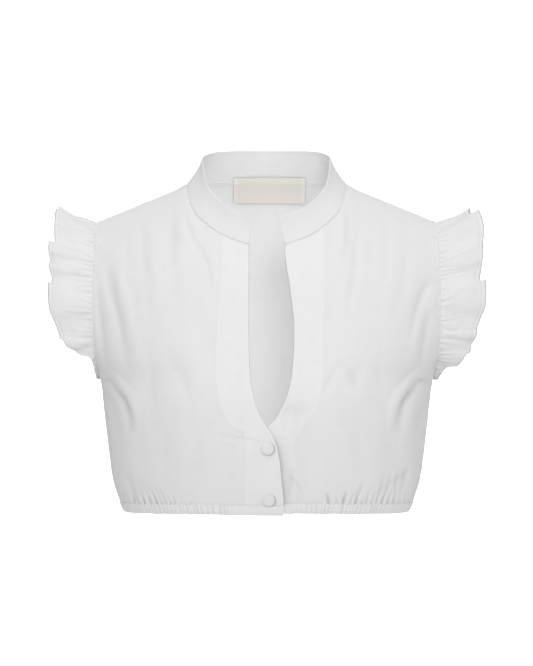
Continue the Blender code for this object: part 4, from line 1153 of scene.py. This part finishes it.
def makeRuffle(hand, name, node):
    look = ruffleLook
    count = len(ruffleFlutes[hand])
    flute = np.arange(look["stepsAround"]) / look["stepsAround"] * count
    w = np.concatenate([np.linspace(-0.03, 0.35, 15)[:-1], np.linspace(0.35, 0.88, 12)[:-1], np.linspace(0.88, 1, 9)])
    fluteGrid, outGrid = np.meshgrid(flute, w)
    base, share, width = ruffleBase(fluteGrid, np.maximum(outGrid, 0), hand)
    wrapped = np.concatenate([base[:, -1:], base, base[:, :1]], axis=1)
    normal = gridNormals(wrapped)[:, 1:-1]
    seed = 80 + hand
    fromRoot = np.maximum(outGrid, 0) * width
    around = share * look["rootFolds"]
    place = around + 0.5 * wander(around * 0.6, seed)
    reach = 7 + 19 * scatter(np.floor(place + 0.5), seed + 1) ** 1.5
    ridge = (((1 - np.cos(2 * math.pi * place)) / 2) ** 0.45 - 0.75) * (0.4 + 0.6 * scatter(np.floor(place + 0.5), seed + 2))
    fadeIn = ease(fromRoot / 1.5)
    lift = look["rootDepth"] * ridge * np.exp(-((fromRoot / reach) ** 1.5)) * fadeIn
    ripple = wander2(around * 0.30, fromRoot / 34, seed + 3)
    lift += (0.9 * ripple * ease(fromRoot / 18) + 0.14 * wander2(around * 1.1, fromRoot / 7, seed + 4)) * ease(width / 20)
    fromHem = (1 - outGrid) * width
    hem = look["hemWidth"] * np.clip(width / 30, 0.35, 1)
    lift += 0.30 * ease((hem - fromHem) / 0.7) - 0.28 * np.exp(-(((fromHem - hem) / 0.45) ** 2))
    lift += 0.16 * wander(around * 1.9, seed + 5) * np.exp(-(((fromHem - hem) / 4.0) ** 2))
    lift += 0.3 * np.clip(-outGrid / 0.03, 0, 1)
    points = base + normal * lift[..., None]
    points[..., 0] -= 1.2 * np.clip(-outGrid / 0.03, 0, 1)
    # painted shade: the ruffle is darkened in its own hollows and in a line along its free edge, less where it is
    # narrow
    hollow = hollowOf(lift, 12, 2.2, closed=True) + 0.8 * np.exp(-((fromHem / 1.0) ** 2))
    hollow = hollow * ease((width - 4) / 16)
    masks = {"doubled": 0.5 * ease((hem - fromHem) / 0.5), "hollow": np.clip(hollow, 0, 1)}
    piece = addSurface(name, placeOn(points, hand), cotton, look["cloth"], masks=masks, closed=True, flip=hand < 0)
    piece.modifiers["wall"].offset = 0.0
    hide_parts(node)
    return piece, points, normal


ruffleRight, ruffleRightPoints, ruffleRightNormals = makeRuffle(-1, "armRuffleRight", "ruffle_right")
ruffleLeft, ruffleLeftPoints, ruffleLeftNormals = makeRuffle(1, "armRuffleLeft", "ruffle_left")
print("ruffles made")


# covered buttons and the neck label

buttonLook = {"radius": 6.8, "dome": 3.2, "edge": 1.4, "seat": 0.0, "around": 72}
buttonPlaces = {"coveredButtonUpper": ("button_upper", 1.5, -259.3), "coveredButtonLower": ("button_lower", 2.4, -308.0)}


def frontSkin(x, z, hand):
    # the plain front's outer face at a place, with its outward direction
    step = 0.01
    point = onForm(x, z, front)
    slopeX = (formY(x + step, z, front) - formY(x - step, z, front)) / (2 * step)
    slopeZ = (formY(x, z + step, front) - formY(x, z - step, front)) / (2 * step)
    normal = unitOf(np.stack([slopeX, -np.ones_like(x), slopeZ], axis=-1))
    hung = hemDroop(x, z, front, hand)[..., None] * np.array([0, 0, 1.0])
    return point + normal * lapLift(x, z, hand)[..., None] - hung, normal


def makeButton(name, node, x, z, seed):
    # cloth drawn over a dome: soft pleats gather under its rim
    look = buttonLook
    place, normal = frontSkin(np.array([-x]), np.array([z]), -1)
    place, normal = placeOn(place[0], -1), placeOn(normal[0], -1)
    spin = np.arange(look["around"]) * 2 * math.pi / look["around"]
    turn = np.linspace(0, math.pi / 2, 13)[:-1]
    profile = [(0.2, 0.0), (4.6, 0.0), (5.7, 0.05), (6.4, 0.35), (6.72, 0.85)]
    profile += [(look["radius"] * math.cos(t), look["edge"] + (look["dome"] - look["edge"]) * math.sin(t)) for t in turn]
    profile += [(0.25, look["dome"])]
    side = unitOf(np.cross(normal, np.array([0, 0, 1.0])))
    upward = np.cross(side, normal)
    rows = []
    for radius, rise in profile:
        rim = math.exp(-(((rise - 0.7) / 0.7) ** 2))
        wobble = 0.10 * wander(spin * 4.2, seed) * rim + 0.05 * wander(spin * 1.3, seed + 1)
        ring = (np.cos(spin)[:, None] * side + np.sin(spin)[:, None] * upward) * (radius * (1 + 0.02 * wobble))[:, None]
        dent = 0.09 * wander2(np.cos(spin) * radius / 3, np.sin(spin) * radius / 3, seed + 2)
        rows.append(place + normal * (rise + look["seat"] + dent * (radius < 6) * (rise > 1.5))[:, None] + ring)
    grid = np.array(rows)
    spread = np.array([radius for radius, _ in profile])[:, None]
    uv = np.stack([spread * np.cos(spin), spread * np.sin(spin)], axis=-1)
    # painted shadow: the rim is darkened a little all round and in a crescent on its lower right, where the button's
    # shadow falls
    lowerRight = (0.5 - 0.5 * np.cos(spin - 0.5)) ** 1.4
    rim = np.exp(-(((spread - look["radius"]) / 1.1) ** 2)) * (0.05 + 0.95 * lowerRight)
    masks = {"doubled": np.full(grid.shape[:2], 0.2), "hollow": rim}
    piece = addSurface(name, grid, cotton, 0, uv=uv, masks=masks, closed=True, flip=True)
    mesh = piece.data
    work = bmesh.new()
    work.from_mesh(mesh)
    bmesh.ops.holes_fill(work, edges=[edge for edge in work.edges if edge.is_boundary], sides=0)
    work.to_mesh(mesh)
    work.free()
    mesh.shade_smooth()
    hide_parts(node)
    return piece


for seed, (name, (node, x, z)) in enumerate(buttonPlaces.items()):
    makeButton(name, node, x, z, 90 + 5 * seed)

labelLook = {"centreX": 3.0, "width": 76.0, "height": 25.0, "lift": 2.8, "rise": 5.5, "topBow": 6.0, "wall": 0.7}


def makeLabel():
    # it hangs inside the back neckline, its top end a little way up the collar's inner face
    look = labelLook
    u, v = np.meshgrid(np.linspace(-0.5, 0.5, 90), np.linspace(0, 1, 34))
    x = look["centreX"] + look["width"] * u
    bow = look["topBow"] * (np.abs(x) / bodyForm["neckHalfWidth"]) ** 3
    seam = bodyForm["backNeckZ"] - bow
    z = seam + look["rise"] - look["height"] * (1 - v)
    above = np.maximum(z - seam, 0) / collarLook["backHeight"]
    base = onForm(x, np.minimum(z, seam), back)
    base[..., 1] -= collarLook["backLean"] * above + collarLook["hollow"] * np.sin(math.pi * above)
    base[..., 2] = z
    normal = -gridNormals(base)
    fromEnd = (0.5 - np.abs(u)) * look["width"]
    lift = -look["lift"] + 0.25 * wander2(x / 22, z / 12, 101) + 0.25 * np.exp(-((fromEnd / 1.2) ** 2))
    lift = lift - 0.35 * ease((0.35 - v) / 0.35) * ease((look["width"] / 2 - np.abs(x - look["centreX"])) / 12)
    points = base + normal * lift[..., None]
    folded = ease((4.0 - fromEnd) / 0.6)
    piece = addSurface("neckLabel", points, tagCloth, look["wall"], masks={"doubled": folded})
    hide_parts("neck_label")
    return piece, points, normal


neckLabel, labelPoints, labelNormals = makeLabel()
print("buttons and label made")


# sewing: rows of small sunk stitches, one mesh for each seam

stitchLook = {"pitch": 2.5, "length": 1.75, "radius": 0.2, "rings": (0.0, 0.75, 1.0, 1.0, 0.75, 0.0), "sides": 5}


def stitchRow(lines, raise_=0.06):
    # capsules set end to end along each line of points, every one turned to its line and its cloth
    look = stitchLook
    allPoints, allFaces, start = [], [], 0
    stations = np.linspace(-0.5, 0.5, len(look["rings"])) * look["length"]
    spin = np.arange(look["sides"]) * 2 * math.pi / look["sides"]
    ringCount, sides = len(look["rings"]), look["sides"]
    faces = []
    for ring in range(ringCount - 1):
        for k in range(sides):
            a, b = ring * sides + k, ring * sides + (k + 1) % sides
            faces.append((a, b, b + sides, a + sides))
    faces = np.array(faces)
    for points, normals in lines:
        length = lineLength(points)
        number = max(int(length / look["pitch"]), 1)
        share = (np.arange(number) + 0.5) / number
        centre = alongLine(points, share)
        ahead = unitOf(alongLine(points, np.clip(share + 0.3 / length, 0, 1)) - alongLine(points, share - 0.3 / length))
        run = np.concatenate([[0], np.cumsum(np.linalg.norm(np.diff(points, axis=0), axis=1))]) / length
        out = unitOf(np.stack([np.interp(share, run, normals[:, k]) for k in range(3)], axis=-1))
        side = unitOf(np.cross(ahead, out))
        for ring, station in zip(look["rings"], stations):
            radius = look["radius"] * max(ring, 0.15)
            circle = np.cos(spin)[None, :, None] * side[:, None] + np.sin(spin)[None, :, None] * out[:, None]
            allPoints.append(centre[:, None] + ahead[:, None] * station + out[:, None] * raise_ + circle * radius)
        block = np.stack(allPoints[-ringCount:], axis=1).reshape(number, -1, 3)
        del allPoints[-ringCount:]
        allPoints.append(block.reshape(-1, 3))
        offsets = start + np.arange(number)[:, None, None] * ringCount * sides
        allFaces.append((faces[None] + offsets).reshape(-1, 4))
        start += number * ringCount * sides
    return np.concatenate(allPoints), np.concatenate(allFaces)


def addStitches(name, lines):
    points, faces = stitchRow(lines)
    mesh = bpy.data.meshes.new(name)
    mesh.from_pydata((points * mm).tolist(), [], faces.tolist())
    mesh.materials.append(thread)
    mesh.shade_smooth()
    layer = mesh.uv_layers.new(name="cloth")
    corners = np.empty(len(mesh.loops), int)
    mesh.loops.foreach_get("vertex_index", corners)
    layer.data.foreach_set("uv", (points[:, [0, 2]] * mm)[corners].ravel())
    piece = bpy.data.objects.new(name, mesh)
    bpy.context.scene.collection.objects.link(piece)
    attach(piece, "root")
    return piece


def rowsAt(points, normals, rows, distance):
    # the line at that distance from each row's outer end
    run = runOf(points, 1)
    line = []
    for row in rows:
        at = run[row, -1] - distance
        line.append([np.interp(at, run[row], values[row, :, k]) for values in (points, normals) for k in range(3)])
    line = np.array(line)
    return line[:, :3], line[:, 3:]


armRows = np.flatnonzero(panelShares()[1][:, 0] > bodyForm["underarmShare"])
mirror = np.array([-1.0, 1.0, 1.0])
backHalf = backPoints.shape[1] // 2
rightHalf, leftHalf = backPoints[:, backHalf::-1], backPoints[:, backHalf:]
rightHalfOut, leftHalfOut = gridNormals(rightHalf), -gridNormals(leftHalf)
stitchAt = bodyLook["stitchLine"]
armLinesRight = [
    tuple(values * mirror for values in rowsAt(rightPoints, rightNormals, armRows, stitchAt)),
    rowsAt(rightHalf, rightHalfOut, armRows, stitchAt),
]
armLinesLeft = [
    rowsAt(leftPoints, leftNormals, armRows, stitchAt),
    rowsAt(leftHalf, leftHalfOut, armRows, stitchAt),
]
armStitchesRight = addStitches("armholeStitchesRight", armLinesRight)
armStitchesLeft = addStitches("armholeStitchesLeft", armLinesLeft)


def ruffleHemLine(points, normals, hand):
    # the stitched line a narrow hem's width in from the free edge
    widths = np.linalg.norm(np.diff(points, axis=0), axis=2).cumsum(axis=0)
    total = widths[-1]
    inset = ruffleLook["hemWidth"] * np.clip(total / 30, 0.35, 1)
    line = []
    for column in range(points.shape[1]):
        run = np.concatenate([[0], widths[:, column]])
        at = run[-1] - inset[column]
        line.append([np.interp(at, run, values[:, column, k]) for values in (points, normals) for k in range(3)])
    line = np.array(line + line[:1])
    place = np.array([hand, 1.0, 1.0])
    surface = line[:, :3] + line[:, 3:] * ruffleLook["cloth"] / 2
    return surface * place, line[:, 3:] * place


ruffleStitchesRight = addStitches("ruffleStitchesRight", [ruffleHemLine(ruffleRightPoints, ruffleRightNormals, -1)])
ruffleStitchesLeft = addStitches("ruffleStitchesLeft", [ruffleHemLine(ruffleLeftPoints, ruffleLeftNormals, 1)])


def casingStitchLine(grid, row, toward):
    # the stitched line along the top of the casing, on its outer face
    line = grid[row]
    ahead = np.gradient(line, axis=0)
    out = unitOf(np.stack([ahead[:, 1], -ahead[:, 0], 0 * ahead[:, 0]], axis=-1)) * toward
    return line, out


casingStitches = addStitches("casingStitches", [
    casingStitchLine(casingGrids["hemCasingRight"], 2, -1),
    casingStitchLine(casingGrids["hemCasingLeft"], 2, 1),
    casingStitchLine(casingGrids["hemCasingBack"], 2, -1),
])


def collarStitchLine():
    # along one end, the top and the other end, a little in from the edge
    points, normals = collarOuter, collarNormals
    inset = collarLook["stitchInset"]
    upward = np.linalg.norm(np.diff(points[:, points.shape[1] // 4], axis=0), axis=1)
    fromTop = upward.sum() - np.concatenate([[0], np.cumsum(upward)])
    topRow = int(np.argmin(np.abs(fromTop - inset)))
    run = runOf(points, 1)[topRow]
    first = int(np.argmin(np.abs(run - inset)))
    last = int(np.argmin(np.abs(run[-1] - run - inset)))
    path = [(row, first) for row in range(3, topRow)]
    path += [(topRow, column) for column in range(first, last + 1)]
    path += [(row, last) for row in range(topRow - 1, 2, -1)]
    rows, columns = np.array(path).T
    return points[rows, columns], normals[rows, columns]


collarStitches = addStitches("collarStitches", [collarStitchLine()])


def labelEnds():
    lines = []
    for column in (4, labelPoints.shape[1] - 5):
        inside = labelPoints[:, column] - labelNormals[:, column] * labelLook["wall"]
        lines.append((inside, -labelNormals[:, column]))
    return lines


labelStitches = addStitches("labelStitches", labelEnds())
print("stitches made")


# stage, light and camera

stageLook = {"floorZ": -1.35, "backY": 6.0, "bend": 1.2, "halfWidth": 5.0, "frontY": -6.0, "wallTop": 4.0}


def makeStage():
    # a floor that curves up into a wall
    look = stageLook
    turn = np.linspace(0, math.pi / 2, 24)
    y = np.concatenate([[look["frontY"]], look["backY"] - look["bend"] + look["bend"] * np.sin(turn), [look["backY"]]])
    z = np.concatenate([[look["floorZ"]], look["floorZ"] + look["bend"] * (1 - np.cos(turn)), [look["wallTop"]]])
    points = [(x, y[k], z[k]) for k in range(len(y)) for x in (-look["halfWidth"], look["halfWidth"])]
    faces = [(2 * k, 2 * k + 1, 2 * k + 3, 2 * k + 2) for k in range(len(y) - 1)]
    mesh = bpy.data.meshes.new("studioFloor")
    mesh.from_pydata(points, [], faces)
    mesh.shade_smooth()
    paper = bpy.data.materials.new("studioPaper")
    paper.use_nodes = True
    shader = paper.node_tree.nodes["Principled BSDF"]
    shader.inputs["Base Color"].default_value = (0.80, 0.80, 0.80, 1)
    shader.inputs["Roughness"].default_value = 0.95
    mesh.materials.append(paper)
    floor = bpy.data.objects.new("studioFloor", mesh)
    bpy.context.scene.collection.objects.link(floor)


def addArea(name, place, aim, size, power):
    # a square soft light that faces the aim
    light = bpy.data.lights.new(name, "AREA")
    light.size = size
    light.energy = power
    lamp = bpy.data.objects.new(name, light)
    bpy.context.scene.collection.objects.link(lamp)
    lamp.location = place
    direction = Vector(aim) - Vector(place)
    lamp.rotation_euler = direction.to_track_quat("-Z", "Y").to_euler()
    lamp.visible_camera = False


makeStage()
addArea("keyLight", (-1.3, -2.2, 1.2), (0, 0, -0.15), 0.5, 4)
addArea("frontLight", (0.4, -3.2, 0.6), (0, 0, -0.15), 1.0, 37)
addArea("topLight", (0, -0.6, 2.2), (0, 0, -0.1), 1.4, 11)
addArea("innerFill", (0, -0.05, -0.12), (0, 0.1, -0.14), 0.19, 0.1)
addArea("backdropHigh", (0, 4.2, 2.0), (0, 6.4, -0.3), 1.8, 180)
addArea("backdropLow", (0, 3.6, -1.3), (0, 6.4, 0.2), 1.6, 75)
world = bpy.data.worlds.new("studioAir")
world.use_nodes = True
world.node_tree.nodes["Background"].inputs["Color"].default_value = (1, 1, 1, 1)
world.node_tree.nodes["Background"].inputs["Strength"].default_value = 0.55
bpy.context.scene.world = world
bpy.context.scene.view_settings.view_transform = "Standard"

cameraLook = {"distance": 2.5, "height": -0.148, "pixelSize": 0.00102, "longSide": 666, "sensor": 36.0}
camera = bpy.data.objects.new("camera", bpy.data.cameras.new("camera"))
bpy.context.scene.collection.objects.link(camera)
camera.location = (0, -cameraLook["distance"], cameraLook["height"])
camera.rotation_euler = (math.pi / 2, 0, 0)
camera.data.sensor_width = cameraLook["sensor"]
focalPixels = cameraLook["distance"] / cameraLook["pixelSize"]
camera.data.lens = cameraLook["sensor"] * focalPixels / cameraLook["longSide"]
bpy.context.scene.camera = camera
print("stage set")
